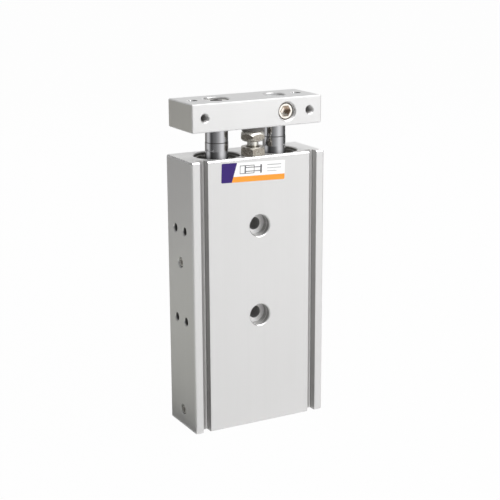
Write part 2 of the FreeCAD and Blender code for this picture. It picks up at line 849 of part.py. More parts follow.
def make_stop_bumper():
    body = new_body("stop_bumper")
    outer = size.stop_bumper_dia / 2
    stem = size.stop_stem_dia / 2
    chamfer = size.stop_bumper_chamfer
    top = size.stop_bumper_thickness
    turned(body, "Revolution", "pad", [
        (ZERO, -size.stop_stem_length),
        (stem, -size.stop_stem_length),
        (stem, ZERO),
        (outer, ZERO),
        (outer, top - chamfer),
        (outer - chamfer, top),
        (ZERO, top),
    ])
    place(body, ZERO, -size.stop_offset, stop_bumper_low)


def make_bore_set(side):
    """Everything that one bore holds, from the lower end up."""
    make_retaining_ring("head_retaining_ring", side, head_ring_low)
    make_head_cover(side)
    make_oring("head_cover_oring", side, (head_cover_low + head_cover_high) / 2)
    bumper_inner = size.piston_nut_flats * HEX_CORNER + size.bumper_play
    make_tube("head_bumper", side, bumper_inner, bumper_inner + size.head_bumper_wall,
              head_bumper_low, piston_low)
    make_piston_nut(side)
    make_piston(side)
    make_piston_seal(side)
    make_tube("piston_magnet", side, magnet_inner, magnet_inner + size.magnet_wall,
              magnet_low + size.seat_play, magnet_high - size.seat_play)
    bumper_inner = rod_radius + size.bumper_play
    make_tube("rod_bumper", side, bumper_inner, bumper_inner + size.rod_bumper_wall,
              piston_high, rod_bumper_high)
    make_piston_rod(side)
    make_rod_cover(side)
    make_tube("guide_bush", side, rod_radius + size.rod_play, bush_outer, rod_cover_low, bush_high)
    rod_cover_groove_high = rod_cover_high - size.rod_cover_oring_drop
    make_oring("rod_cover_oring", side, rod_cover_groove_high - size.oring_groove_width / 2)
    make_rod_seal(side)
    make_tube("seal_retainer", side, rod_radius + size.retainer_relief, bore_radius - size.cover_play,
              rod_cover_high, rod_ring_low)
    make_retaining_ring("rod_retaining_ring", side, rod_ring_low)


def check_and_write():
    doc.recompute()
    for item in doc.Objects:
        if "Invalid" in item.State or "Error" in item.State:
            raise RuntimeError("%s failed: %s" % (item.Name, item.State))
    for node in nodes:
        if node.Shape.isNull() or not node.Shape.isValid():
            raise RuntimeError(node.Label + " has no valid shape")
    os.makedirs("parts", exist_ok=True)
    for node in nodes:
        node.Shape.exportStep("parts/%s.step" % node.Label)
        print("%-28s %d solid(s) %10.2f mm3" % (node.Label, len(node.Shape.Solids), node.Shape.Volume))


make_cylinder_body()
make_end_plate()
for side in SIDES:
    make_bore_set(side)
make_plate_cap_screw()
make_clamp_screw()
make_port_plugs()
make_stop_bolt()
stop_nut = make_nut("stop_nut", size.stop_flats, size.stop_nut_height, size.stop_dia / 2 + size.thread_play,
                    STOP_CONE_SLOPE)
place(stop_nut, ZERO, -size.stop_offset, body_length, stop_turn)
make_stop_bumper()
check_and_write()
print("body %.2f long, plate top at %.2f" % (body_length.value, plate_high.value))
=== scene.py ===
import json
import math
import bmesh
import bpy
from mathutils import Euler, Matrix, Vector


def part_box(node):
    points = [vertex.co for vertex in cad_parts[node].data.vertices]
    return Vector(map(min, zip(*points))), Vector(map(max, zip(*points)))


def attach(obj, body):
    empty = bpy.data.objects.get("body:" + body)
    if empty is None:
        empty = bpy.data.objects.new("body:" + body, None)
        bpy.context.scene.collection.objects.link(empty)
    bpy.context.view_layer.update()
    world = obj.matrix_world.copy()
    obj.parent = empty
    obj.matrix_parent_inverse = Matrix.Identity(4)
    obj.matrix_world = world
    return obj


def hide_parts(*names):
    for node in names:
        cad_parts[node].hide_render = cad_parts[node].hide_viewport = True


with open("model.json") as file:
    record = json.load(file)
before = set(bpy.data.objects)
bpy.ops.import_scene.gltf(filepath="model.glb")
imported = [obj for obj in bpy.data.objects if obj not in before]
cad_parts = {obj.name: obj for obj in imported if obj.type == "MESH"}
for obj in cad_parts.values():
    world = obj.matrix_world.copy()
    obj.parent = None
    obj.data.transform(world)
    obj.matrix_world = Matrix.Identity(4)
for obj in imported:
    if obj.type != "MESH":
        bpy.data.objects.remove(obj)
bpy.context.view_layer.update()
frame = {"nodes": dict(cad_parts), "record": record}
nodes = frame["nodes"]
mm = 0.001  # sizes below are in millimetres, the scene is in metres
mounts = {mount["name"]: mount for mount in frame["record"]["mounts"]}


def middleOf(node):
    low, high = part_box(node)
    return [(first + last) / 2 / mm for first, last in zip(low, high)]


def mountAt(name):
    return [part / mm for part in mounts[name]["pos_m"]]


# Places that finishes and pieces share, in millimetres
boreAcross = middleOf("piston_rod_right")[0]
stopAlong = middleOf("stop_nut")[1]
mountLevel = mountAt("through_holes")[2]
tapLevel = mountAt("left_side_threads")[2]
tapAlong = mounts["left_side_threads"]["dims"]["spacing_x_mm"] / 2
rowReach = mounts["left_side_threads"]["dims"]["spacing_y_mm"] / 2
portLevels = (mountAt("head_side_port")[2], mountAt("rod_side_port")[2])
portMiddle = sum(portLevels) / 2
portReach = portLevels[1] - portMiddle
plateLevel = mountAt("plate_front_threads")[2]
plateTapAcross = mounts["plate_front_threads"]["dims"]["spacing_x_mm"] / 2
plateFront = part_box("end_plate")[0][1] / mm
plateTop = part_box("end_plate")[1][2] / mm
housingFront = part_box("cylinder_body")[0][1] / mm
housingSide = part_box("cylinder_body")[1][0] / mm
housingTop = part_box("cylinder_body")[1][2] / mm
print("frame loaded,", len(nodes), "nodes")


# An operator between shader sockets, or a socket and a number, adds its Math node
def mathOf(operation, turned=False):
    def combine(wire, other):
        return wire.math(operation, *((other, wire) if turned else (wire, other)))
    return combine


# A shader socket that takes part in sums
class Wire:
    __add__ = mathOf("ADD")
    __radd__ = mathOf("ADD", turned=True)
    __sub__ = mathOf("SUBTRACT")
    __rsub__ = mathOf("SUBTRACT", turned=True)
    __mul__ = mathOf("MULTIPLY")
    __rmul__ = mathOf("MULTIPLY", turned=True)
    __truediv__ = mathOf("DIVIDE")
    __pow__ = mathOf("POWER")
    __lt__ = mathOf("LESS_THAN")
    __gt__ = mathOf("GREATER_THAN")
    lowest = mathOf("MINIMUM")
    highest = mathOf("MAXIMUM")

    def __init__(self, finish, socket):
        self.finish = finish
        self.socket = socket

    def __abs__(self):
        return self.math("ABSOLUTE", self)

    def math(self, operation, *values):
        return self.finish.node("Math", dict(enumerate(values)), operation=operation)


# Blur of masks' edges, and how much a flat face or the slope of a broken edge looks along an axis
maskLook = dict(
    blur=0.1,
    rimBlur=0.06,
    mouthBlur=0.05,
    holeBlur=0.04,
    flat=(0.8, 0.95),
    slopeFrom=(0.5, 0.6),
    slopeTo=(0.8, 0.9),
)


# A node tree with its object coordinates at hand, in millimetres
class Finish:
    def __init__(self, name, tree=None):
        if tree is None:
            self.material = bpy.data.materials.new(name)
            self.material.use_nodes = True
            tree = self.material.node_tree
        self.tree = tree
        coords = self.node("TexCoord", out="Object")
        self.place = self.node("VectorMath", {"Vector": coords, "Scale": 1 / mm}, operation="SCALE")
        self.x, self.y, self.z = self.parts(self.place)

    def node(self, kind, sockets=None, out=0, **settings):
        made = self.tree.nodes.new("ShaderNode" + kind)
        for key, value in settings.items():
            setattr(made, key, value)
        self.feed(made, sockets or {})
        return Wire(self, made.outputs[out])

    def feed(self, made, sockets):
        for key, value in sockets.items():
            socket = made.inputs[key]
            if isinstance(value, Wire):
                self.tree.links.new(value.socket, socket)
            else:
                socket.default_value = (*value, 1.0) if socket.type == "RGBA" else value

    def parts(self, vector):
        first = self.node("SeparateXYZ", {0: vector})
        return [Wire(self, out) for out in first.socket.node.outputs]

    # stretch is how fast the noise runs along x, y and z
    def noise(self, stretch, detail=2.0, roughness=0.5):
        spread = self.node("VectorMath", {0: self.place, 1: stretch}, operation="MULTIPLY")
        sockets = {"Vector": spread, "Scale": 1.0, "Detail": detail, "Roughness": roughness}
        return self.node("TexNoise", sockets)

    # lathe marks: noise that runs round an axis, along the bar and across its end faces
    def turning(self, radius, along, pitch):
        spread = self.node("CombineXYZ", {0: radius / pitch, 1: along / pitch})
        return self.node("TexNoise", {"Vector": spread, "Scale": 1.0, "Detail": 2.0})

    def mix(self, factor, first, second):
        return self.node("Mix", {0: factor, 6: first, 7: second}, out=2, data_type="RGBA")

    def ramp(self, share, stops):
        shown = self.node("ValToRGB", {"Fac": share})
        elements = shown.socket.node.color_ramp.elements
        while len(elements) < len(stops):
            elements.new(1.0)
        for element, (position, color) in zip(elements, stops):
            element.position = position
            element.color = (*color, 1.0)
        return shown

    def step(self, value, low, high):
        sockets = {"Value": value, "From Min": low, "From Max": high}
        return self.node("MapRange", sockets, interpolation_type="SMOOTHSTEP")

    def band(self, value, rise, fall):
        return self.step(value, *rise) * (1 - self.step(value, *fall))

    def between(self, value, low, high):
        return (value > low) * (value < high)

    # -1 below the middle, 1 above it
    def hand(self, value, middle=0):
        return (value > middle) * 2 - 1

    def blend(self, shares, *noises):
        return sum(share * noise for share, noise in zip(shares, noises))

    # noises as a change about nothing
    def sway(self, shares, *noises):
        return self.blend(shares, *[noise - 0.5 for noise in noises])

    # a mask that is fuller where the noise is high
    def patchy(self, mask, cover, noise):
        plain, varied = cover
        return mask * (plain + varied * noise)

    def gap(self, across, up):
        return (across * across + up * up) ** 0.5

    def inside(self, distance, radius, blur=maskLook["blur"]):
        return 1 - self.step(distance, radius - blur, radius + blur)

    def hole(self, distance, radius):
        return self.inside(distance, radius, maskLook["holeBlur"])

    def rim(self, distance, radius, width):
        blur = maskLook["rimBlur"]
        return self.inside(distance, radius + width, blur) - self.inside(distance, radius, blur)

    def facing(self, axis):
        return abs(self.parts(self.node("TexCoord", out="Normal"))["xyz".index(axis)])

    def flat(self, axis):
        return self.step(self.facing(axis), *maskLook["flat"])

    def slope(self):
        return self.band(self.facing("z"), maskLook["slopeFrom"], maskLook["slopeTo"])

    def bump(self, height):
        return self.node("Bump", {"Height": height, "Distance": mm})

    def shade(self, sockets):
        self.feed(self.tree.nodes["Principled BSDF"], sockets)
        return self.material

    def surface(self, shader):
        self.feed(self.tree.nodes["Material Output"], {"Surface": shader})
        return self.material

    def glow(self, color, level=1.0):
        return self.surface(self.node("Emission", {"Color": color, "Strength": level}))


def grey(level, warmth=0.0):
    return (level * (1 + warmth), level, level * (1 - warmth))


# Bright metal where an edge was broken after anodising; on the mouths of the counterbores and upper holes
# only on their lit side, as painted highlight
cutAndHighlightLook = dict(
    tone=grey(0.97),
    cover=(0.8, 0.3),
    roughness=0.2,
    metal=0.95,
)


def anodised(f, look, cutAndHighlight, sockets):
    sockets["Metallic"] = sockets["Metallic"] + (cutAndHighlightLook["metal"] - look["metal"]) * cutAndHighlight
    sockets["Roughness"] = sockets["Roughness"] + (cutAndHighlightLook["roughness"] - look["roughness"]) * cutAndHighlight
    return f.shade(sockets)


# Satin anodised housing: drawn along its length, end faces milled, holes and edges cut after
# painted light on the upper end face and in the counterbores, painted highlight on the counterbores' rims,
# painted shade in the counterbores, bores, holes, ports and grooves
housingLook = dict(
    pale=grey(0.80, 0.004),
    deep=grey(0.72, 0.008),
    metal=0.45,
    roughness=0.42,
    toneBy=(0.45, 0.30, 0.25),
    roughBy=(0.08, 0.06),
    drawnGrain=(2.4, 2.4, 0.012),
    broadGrain=(0.35, 0.35, 0.004),
    cloudGrain=(0.05, 0.05, 0.02),
    fineGrain=(6.0, 6.0, 6.0),
    milledGrain=(0.05, 3.5, 3.5),
    fineDepth=0.008,
    drawnDepth=0.006,
    milledDepth=0.010,
    ringDepth=0.05,
    milledShare=0.35,
    upperEndLight=grey(0.93, 0.004),  # painted light on the upper end face
    endDepth=0.5,  # how far below the top the end face and its broken edge are looked for
    edgeDepth=1.0,
    boreReach=10.06,
    boreMouth=10.8,
    # painted shade inside the bores, patchy
    boreShadeCover=(0.8, 0.2),
    boreRough=0.1,
    boreShade=(0.25, 0.24, 0.22),
    faceFrom=11.5,  # the front and back faces, from the middle
    sinkRadius=4.75,
    sinkRim=0.32,
    sinkMetal=0.05,
    sinkMarks=1.3,  # pitch of the cutter's rings
    streak=(0.44, 0.56),
    # counterbore walls: painted light on the left, painted shade on the right, with the cutter's rings as
    # dark streaks
    sinkLitTone=grey(1.0, 0.005),
    sinkStreak=grey(0.22, 0.02),
    sinkShade=grey(0.80, 0.015),
    shadeFrom=(1.5, 4.0),  # right of a counterbore's middle
    rimBelow=(-0.5, -3.0),  # painted highlight on a counterbore's rim, below and to the left
    rimLeft=(0.5, 3.5),
    rimFade=0.8,
    litWallBelow=(-0.5, -2.5),  # the part of its wall with painted light, where the streaks fade
    litWallLeft=(1.0, 4.2),
    litWallShare=0.9,
    seatTo=(7.35, 7.45),  # the seat's depth, from the middle
    seatTone=grey(1.0, 0.005),
    seatStreak=grey(0.92, 0.015),
    seatRough=-0.14,
    throughRadius=2.75,
    # painted shade in the through holes and the side tapped holes
    holeShade=(0.025, 0.024, 0.022),
    sideFrom=24.0,  # holes further out than this are in the sides
    sideFace=31.0,
    sideRimShare=0.3,
    tapRadius=1.72,
    tapRim=0.4,
    portRadius=2.17,
    portRim=0.5,
    # painted shade in the ports
    portShade=(0.36, 0.35, 0.33),
    grooveAcross=(24.4, 28.2),
    grooveDepth=(-12.4, -8.0),
    floorFrom=(-8.75, -8.6),
    # groove floors: painted light on the right part, painted shade on the left part
    floorTone=grey(1.0, 0.01),
    floorShade=grey(0.50, 0.01),
    floorLit=(0.3, 1.4),  # right of a groove's middle
    # painted shade on the groove walls: left and right groove, at the upper end and at the lower end
    grooveWallShades=(grey(0.59, 0.012), grey(0.71, 0.012)),
    grooveWallFootShades=(grey(0.44, 0.012), grey(0.53, 0.012)),
    # painted shade in the corner where a groove wall meets the floor
    cornerShadeFrom=(-9.4, -9.1),
    cornerShadeShare=0.5,
    grooveCornerShade=grey(0.2, 0.012),
)


def housingAnodise():
    look = housingLook
    f = Finish("satin_anodise_housing")
    drawn = f.noise(look["drawnGrain"], detail=3.0)
    broad = f.noise(look["broadGrain"])
    cloud = f.noise(look["cloudGrain"])
    grain = f.noise(look["fineGrain"])
    milled = f.noise(look["milledGrain"], detail=3.0)
    across = abs(f.x)
    side = across > look["sideFrom"]
    face = abs(f.y) > look["faceFrom"]
    fromBore = f.gap(across - boreAcross, f.y)
    sinkUp = f.z - mountLevel - rowReach * f.hand(f.z, mountLevel)
    fromSink = f.gap(f.x, sinkUp)
    fromTap = f.gap(abs(f.y) - tapAlong, abs(f.z - tapLevel) - rowReach)
    fromPort = f.gap(f.y, abs(f.z - portMiddle) - portReach)
    bores = f.inside(fromBore, look["boreReach"], maskLook["mouthBlur"])
    sinks = f.hole(fromSink, look["sinkRadius"])
    through = f.hole(fromSink, look["throughRadius"])
    holes = through.highest(f.inside(fromTap, look["tapRadius"]) * side)
    ports = f.inside(fromPort, look["portRadius"]) * side
    low, high = look["grooveAcross"]
    groove = f.between(across, low, high) * f.between(f.y, *look["grooveDepth"])
    floor = groove * f.step(f.y, *look["floorFrom"])
    ends = f.flat("z")
    upper = ends * (f.z > housingTop - look["endDepth"])
    # broken edges: the upper end, and the mouths of the holes; the counterbores' rims only on their lower
    # left, as painted highlight
    cutAndHighlight = f.slope() * (f.z > housingTop - look["edgeDepth"]) * (fromBore > look["boreMouth"])
    rimHighlight = f.step(sinkUp, *look["rimBelow"]) * (1 - look["rimFade"] * f.step(f.x, *look["rimLeft"]))
    cutAndHighlight = cutAndHighlight.highest(f.rim(fromSink, look["sinkRadius"], look["sinkRim"]) * face * rimHighlight)
    sideRims = f.rim(fromTap, look["tapRadius"], look["tapRim"])
    sideRims = sideRims.highest(f.rim(fromPort, look["portRadius"], look["portRim"]))
    cutAndHighlight = cutAndHighlight.highest(sideRims * (across > look["sideFace"]) * look["sideRimShare"])
    tone = f.mix(f.blend(look["toneBy"], cloud, drawn, broad), look["pale"], look["deep"])
    tone = f.mix(upper, tone, look["upperEndLight"])
    tone = f.mix(ends * look["milledShare"] * milled, tone, look["deep"])
    # sensor grooves, with painted shade on their walls and in their corners, and painted light on part of
    # their floors
    wall = f.mix(f.z / housingTop, f.mix(f.x > 0, *look["grooveWallFootShades"]), f.mix(f.x > 0, *look["grooveWallShades"]))
    wall = f.mix(look["cornerShadeShare"] * f.step(f.y, *look["cornerShadeFrom"]), wall, look["grooveCornerShade"])
    tone = f.mix(groove, tone, wall)
    lit = f.step(f.x - (low + high) / 2 * f.hand(f.x), *look["floorLit"])
    tone = f.mix(floor, tone, f.mix(lit, look["floorShade"], look["floorTone"]))
    # counterbores with the cutter's rings, painted light on their lower left and painted shade on their
    # right
    rings = f.turning(fromSink, f.y, look["sinkMarks"])
    litWall = f.step(sinkUp, *look["litWallBelow"]) * (1 - f.step(f.x, *look["litWallLeft"]))
    streak = f.step(rings, *look["streak"]) * (1 - look["litWallShare"] * litWall)
    seat = sinks * (1 - f.step(abs(f.y), *look["seatTo"]))
    bored = f.mix(f.step(f.x, *look["shadeFrom"]), look["sinkLitTone"], look["sinkShade"])
    tone = f.mix(sinks, tone, f.mix(streak, bored, look["sinkStreak"]))
    tone = f.mix(seat, tone, f.mix(streak, look["seatTone"], look["seatStreak"]))
    # painted shade in the bores, ports and holes
    tone = f.mix(f.patchy(bores, look["boreShadeCover"], drawn), tone, look["boreShade"])
    tone = f.mix(ports, tone, look["portShade"])
    tone = f.mix(holes, tone, look["holeShade"])
    tone = f.mix(f.patchy(cutAndHighlight, cutAndHighlightLook["cover"], grain), tone, cutAndHighlightLook["tone"])
    rough = look["roughness"] + f.sway(look["roughBy"], grain, drawn)
    height = look["fineDepth"] * grain + (1 - ends) * look["drawnDepth"] * drawn
    height = height + ends * look["milledDepth"] * milled + sinks * look["ringDepth"] * rings
    return anodised(f, look, cutAndHighlight, {
        "Base Color": tone,
        "Metallic": look["metal"] + (look["sinkMetal"] - look["metal"]) * sinks,
        "Roughness": rough + look["boreRough"] * bores + look["seatRough"] * seat,
        "Normal": f.bump(height),
    })


# End plate: the same finish on a milled block
# painted shade on the top face, painted light and shade in the holes, painted highlight on the upper holes'
# mouths
plateLook = dict(
    pale=grey(0.84, 0.003),
    deep=grey(0.77, 0.006),
    metal=0.45,
    roughness=0.40,
    toneBy=(0.6, 0.4),
    roughBy=(0.08, 0.06),
    milledGrain=(0.03, 3.0, 3.0),
    cloudGrain=(0.06, 0.06, 0.06),
    fineGrain=(6.0, 6.0, 6.0),
    fineDepth=0.008,
    milledDepth=0.006,
    ringDepth=0.04,
    sawn=(0.75, 0.74, 0.68),  # the two short ends
    # painted shade on the top face
    topFaceShade=grey(0.72),
    faceShare=0.7,
    edgeUp=5.5,  # the top and the foot, from the plate's middle
    topEdge=0.2,  # how bright each edge is
    rodEdge=0.4,
    frontEdge=0.45,
    clampEdge=0.2,
    frontFace=-11.0,
    tapRadius=1.72,
    tapRim=0.4,
    topRim=0.75,
    tapShade=(-0.3, 0.4),  # right of an upper tapped hole's middle
    sinkRadius=5.6,
    rodRadius=4.92,
    mouthRim=0.4,
    sinkMarks=0.3,
    sinkShade=(-0.3, 1.0),  # right of the left hole's middle
    rodShadeShift=3.2,
    rodShadeLoss=0.6,
    lit=grey(0.97),  # painted light and painted shade on the walls of the upper holes, left and right
    shaded=grey(0.03),
    shadedShare=0.85,
    frontTapTo=-3.0,
    # front tapped holes: painted shade on their left walls, painted light on their right
    frontShade=(-0.2, 1.4),
    frontHoleShadeAndLight=(grey(0.32, 0.02), grey(0.75, 0.01)),
    clampRadius=4.02,
    clampTo=-4.0,
    clampStreak=(0.45, 0.75),
    clampWall=(grey(0.85, 0.01), grey(0.45, 0.02)),
)


def plateAnodise():
    look = plateLook
    f = Finish("satin_anodise_plate")
    milled = f.noise(look["milledGrain"], detail=3.0)
    cloud = f.noise(look["cloudGrain"])
    grain = f.noise(look["fineGrain"])
    up = f.z - plateLevel
    top = up > look["edgeUp"]
    front = f.y < look["frontFace"]
    fromTop = f.gap(abs(f.x) - plateTapAcross, f.y)
    fromFront = f.gap(abs(f.x) - plateTapAcross, up)
    fromSink = f.gap(f.x + boreAcross, f.y)
    fromRod = f.gap(f.x - boreAcross, f.y)
    fromClamp = f.gap(f.x - boreAcross, up)
    topTaps = f.inside(fromTop, look["tapRadius"])
    frontTaps = f.inside(fromFront, look["tapRadius"]) * (f.y < look["frontTapTo"])
    tapSide = f.x - plateTapAcross * f.hand(f.x)
    tapShade = f.step(tapSide, *look["tapShade"])
    sinkSide = f.x - boreAcross * f.hand(f.x) - look["rodShadeShift"] * (f.x > 0)
    sinkShade = f.step(sinkSide, *look["sinkShade"])
    sinks = f.hole(fromSink, look["sinkRadius"]).highest(f.hole(fromRod, look["rodRadius"]))
    clamp = f.inside(fromClamp, look["clampRadius"], maskLook["mouthBlur"]) * (f.y < look["clampTo"])
    # broken edges: the top and the foot, and the mouths of the holes; the upper holes' mouths only on their
    # left, as painted highlight
    slope = f.slope()
    foot = slope * (up < -look["edgeUp"])
    cutAndHighlight = slope * top * look["topEdge"]
    for distance, radius, width, mask in (
        (fromTop, look["tapRadius"], look["topRim"], top * (1 - tapShade)),
        (fromSink, look["sinkRadius"], look["mouthRim"], top * (1 - sinkShade)),
        (fromRod, look["rodRadius"], look["mouthRim"], top * (1 - sinkShade) * look["rodEdge"]),
        (fromFront, look["tapRadius"], look["tapRim"], front * look["frontEdge"]),
        (fromClamp, look["clampRadius"], look["mouthRim"], front * look["clampEdge"]),
    ):
        cutAndHighlight = cutAndHighlight.highest(f.rim(distance, radius, width) * mask)
    tone = f.mix(f.blend(look["toneBy"], cloud, milled), look["pale"], look["deep"])
    tone = f.mix(look["faceShare"] * f.flat("x"), tone, look["sawn"])
    tone = f.mix(look["faceShare"] * top * f.flat("z"), tone, look["topFaceShade"])
    # walls of the holes: the clamp's hole with the cutter's rings, the upper holes with painted light on
    # the left and painted shade on the right, the front tapped holes the other way round
    rings = f.turning(fromSink.lowest(fromRod).lowest(fromClamp), f.z + f.y, look["sinkMarks"])
    tone = f.mix(clamp, tone, f.mix(f.step(rings, *look["clampStreak"]), *look["clampWall"]))
    sinkWall = f.mix(sinkShade * (1 - look["rodShadeLoss"] * (f.x > 0)), look["lit"], look["shaded"])
    tone = f.mix(sinks, tone, sinkWall)
    tone = f.mix(topTaps, tone, f.mix(tapShade, look["lit"], look["shaded"]))
    shadedRim = f.rim(fromTop, look["tapRadius"], look["tapRim"]) * top * tapShade
    tone = f.mix(look["shadedShare"] * shadedRim, tone, look["shaded"])
    tone = f.mix(frontTaps, tone, f.mix(f.step(tapSide, *look["frontShade"]), *look["frontHoleShadeAndLight"]))
    tone = f.mix(f.patchy(cutAndHighlight + foot, cutAndHighlightLook["cover"], grain), tone, cutAndHighlightLook["tone"])
    height = look["fineDepth"] * grain + look["milledDepth"] * milled + sinks * look["ringDepth"] * rings
    return anodised(f, look, cutAndHighlight, {
        "Base Color": tone,
        "Metallic": look["metal"] - look["metal"] * foot.highest(sinks),
        "Roughness": look["roughness"] + f.sway(look["roughBy"], grain, milled),
        "Normal": f.bump(height),
    })


# Hard chromed rods, ground and polished, with a fine dark line where the neck begins
rodLook = dict(
    bright=(0.57, 0.57, 0.59),
    dull=(0.50, 0.50, 0.51),
    roughness=0.10,
    toneBy=(0.4, 0.6),
    roughBy=(0.05, 0.04),
    grind=0.05,
    grindDepth=0.0012,
    smearGrain=(0.5, 0.5, 0.12),
    neckLines=(125.72, 126.22),  # left and right rod
    neckWidth=(0.08, 0.26),
    neckTone=(0.06, 0.055, 0.05),
    neckShare=0.85,
    neckRough=0.2,
    endFacing=(0.7, 0.95),
    endTone=grey(0.88),
    endMetal=0.4,
    endRough=0.18,
    endDepth=0.02,
)


def rodChrome():
    look = rodLook
    f = Finish("hard_chrome")
    left, right = look["neckLines"]
    level = left + (f.x > 0) * (right - left)
    ground = f.turning(f.gap(abs(f.x) - boreAcross, f.y), f.z, look["grind"])
    smear = f.noise(look["smearGrain"], detail=3.0)
    line = 1 - f.step(abs(f.z - level), *look["neckWidth"])
    ends = f.step(f.facing("z"), *look["endFacing"])
    tone = f.mix(f.blend(look["toneBy"], ground, smear), look["bright"], look["dull"])
    tone = f.mix(line * look["neckShare"], tone, look["neckTone"])
    tone = f.mix(ends, tone, look["endTone"])
    rough = look["roughness"] + f.sway(look["roughBy"], ground, smear)
    return f.shade({
        "Base Color": tone,
        "Metallic": 1.0 + (look["endMetal"] - 1.0) * ends,
        "Roughness": rough + look["endRough"] * ends + look["neckRough"] * line,
        "Normal": f.bump(look["grindDepth"] * ground + look["endDepth"] * ends * ground),
    })


# Details of small metal pieces: each takes its distances from the piece's axis, the place along it and
# the skin's tone, and gives back a tone and how metallic it is
# painted shade, black, in the middle of the cap screw's socket
capSocket = dict(
    reach=2.95,
    top=143.34,
    socketShadeTo=(2.0, 2.5),
    black=(0.012, 0.011, 0.010),
)


def deepSocket(f, first, second, along, tone):
    look = capSocket
    inside = (f.gap(first, second) < look["reach"]) * (along < look["top"])
    black = inside * (1 - f.step(abs(first), *look["socketShadeTo"]))
    return f.mix(black, tone, look["black"]), 1.0


# painted light on the clamp screw socket's lower floor and walls, painted shade on its upper walls, a
# painted shade line round its mouth and painted shadow round the head
clampSocket = dict(
    flats=2.1,  # from the axis to a flat of the socket
    mouth=-10.04,
    pale=(1.0, 0.97, 0.92),
    floorTone=(0.86, 0.78, 0.70),
    floorFrom=(-1.1, -0.7),  # pale below this
    socketWallShade=(0.46, 0.36, 0.28),
    wallTo=(-1.2, -1.8),  # pale below this
    wallFlats=(1.86, 1.96),
    lineFrom=(1.95, 2.05),
    lineTo=(2.2, 2.4),
    edgeLineShade=(0.20, 0.14, 0.09),
    lineShare=0.9,
    threadFrom=(3.05, 3.3),
    threadTone=(0.05, 0.035, 0.025),
    threadShare=0.95,
)


def nickelSocket(f, first, second, along, tone):
    look = clampSocket
    sixth = math.radians(60)
    flat = abs(second).highest(math.sin(sixth) * abs(first) + math.cos(sixth) * abs(second))
    inside = (flat < look["flats"]) * (along > look["mouth"])
    floor = f.mix(f.step(second, *look["floorFrom"]), look["pale"], look["floorTone"])
    walls = f.mix(f.step(second, *look["wallTo"]), look["socketWallShade"], look["pale"])
    tone = f.mix(inside, tone, f.mix(f.step(flat, *look["wallFlats"]), floor, walls))
    line = f.band(flat, look["lineFrom"], look["lineTo"]) * (1 - inside)
    tone = f.mix(line * look["lineShare"], tone, look["edgeLineShade"])
    # painted shadow round the head
    thread = f.step(f.gap(first, second), *look["threadFrom"])
    return f.mix(thread * look["threadShare"], tone, look["threadTone"]), 1.0


plugRim = dict(
    rimFrom=(1.6, 1.85),
    tone=(0.03, 0.03, 0.028),
    share=0.9,
    metal=0.4,
)


def darkRim(f, first, second, along, tone):
    rim = f.step(f.gap(first, second), *plugRim["rimFrom"])
    return f.mix(plugRim["share"] * rim, tone, plugRim["tone"]), plugRim["metal"]


# painted highlight on the chamfers of the bolt's head and nut, and on its plain neck
stopHighlights = dict(
    slopeFrom=(0.25, 0.45),
    slopeTo=(0.9, 0.97),
    headFrom=124,
    nutShare=0.2,  # the nut's slopes are less bright than the head's
    neckReach=2.9,
    neckLevels=(122.5, 126.1),
    bright=(0.86, 0.84, 0.78),
    metal=0.7,
)


def highlightSlopes(f, first, second, along, tone):
    look = stopHighlights
    slope = f.band(f.facing("z"), look["slopeFrom"], look["slopeTo"])
    neck = (f.gap(first, second) < look["neckReach"]) * f.between(along, *look["neckLevels"])
    share = look["nutShare"] + (1 - look["nutShare"]) * (along > look["headFrom"])
    bright = (slope * share).highest(neck)
    return f.mix(bright, tone, look["bright"]), look["metal"] + (1 - look["metal"]) * neck


# Small metal pieces: each has a turned or forged skin about its own axis
smallMetals = dict(
    screw_zinc=dict(
        name="bright_zinc", axis="left", bright=(0.80, 0.79, 0.77), dull=(0.62, 0.60, 0.57),
        roughness=0.24, pitch=0.12, marks=0.006, patch=0.7, depth=0.004, detail=deepSocket),
    screw_nickel=dict(
        name="bright_nickel", axis="clamp", bright=(1.0, 0.98, 0.94), dull=(0.80, 0.74, 0.66),
        roughness=0.17, pitch=0.25, marks=0.008, patch=0.9, depth=0.004, detail=nickelSocket),
    plug_steel=dict(
        name="plug_steel", axis="port", bright=(0.86, 0.85, 0.82), dull=(0.62, 0.60, 0.57),
        roughness=0.30, pitch=0.15, marks=0.006, patch=1.1, depth=0.006, detail=darkRim),
    stop_plated=dict(
        name="zinc_plating", axis="stop", bright=(0.38, 0.365, 0.315), dull=(0.32, 0.275, 0.235),
        roughness=0.27, pitch=0.22, marks=0.010, patch=0.8, depth=0.02, detail=highlightSlopes),
    piston_aluminium=dict(
        name="turned_piston", axis="pair", bright=(0.70, 0.70, 0.68), dull=(0.52, 0.52, 0.50),
        roughness=0.32, pitch=0.18, marks=0.02, patch=0.2, depth=0.002),
    nut_steel=dict(
        name="pressed_nut", axis="pair", bright=(0.56, 0.55, 0.53), dull=(0.36, 0.34, 0.32),
        roughness=0.30, pitch=0.2, marks=0.008, patch=0.9, depth=0.012),
    cover_dark=dict(
        name="dark_anodise", axis="pair", bright=(0.50, 0.49, 0.47), dull=(0.32, 0.31, 0.295),
        roughness=0.36, pitch=0.25, marks=0.02, patch=0.3, depth=0.003),
    cover_aluminium=dict(
        name="turned_cover", axis="pair", bright=(0.68, 0.68, 0.66), dull=(0.50, 0.50, 0.49),
        roughness=0.34, pitch=0.25, marks=0.03, patch=0.25, depth=0.002),
    bush_bronze=dict(
        name="bearing_bronze", axis="pair", bright=(0.62, 0.43, 0.21), dull=(0.40, 0.24, 0.10),
        roughness=0.34, pitch=0.2, marks=0.012, patch=1.6, depth=0.010),
    ring_black=dict(
        name="phosphated_ring", axis="pair", bright=(0.36, 0.35, 0.335), dull=(0.20, 0.195, 0.185),
        roughness=0.40, metal=0.6, pitch=0.3, marks=0.004, patch=2.2, depth=0.012),
)
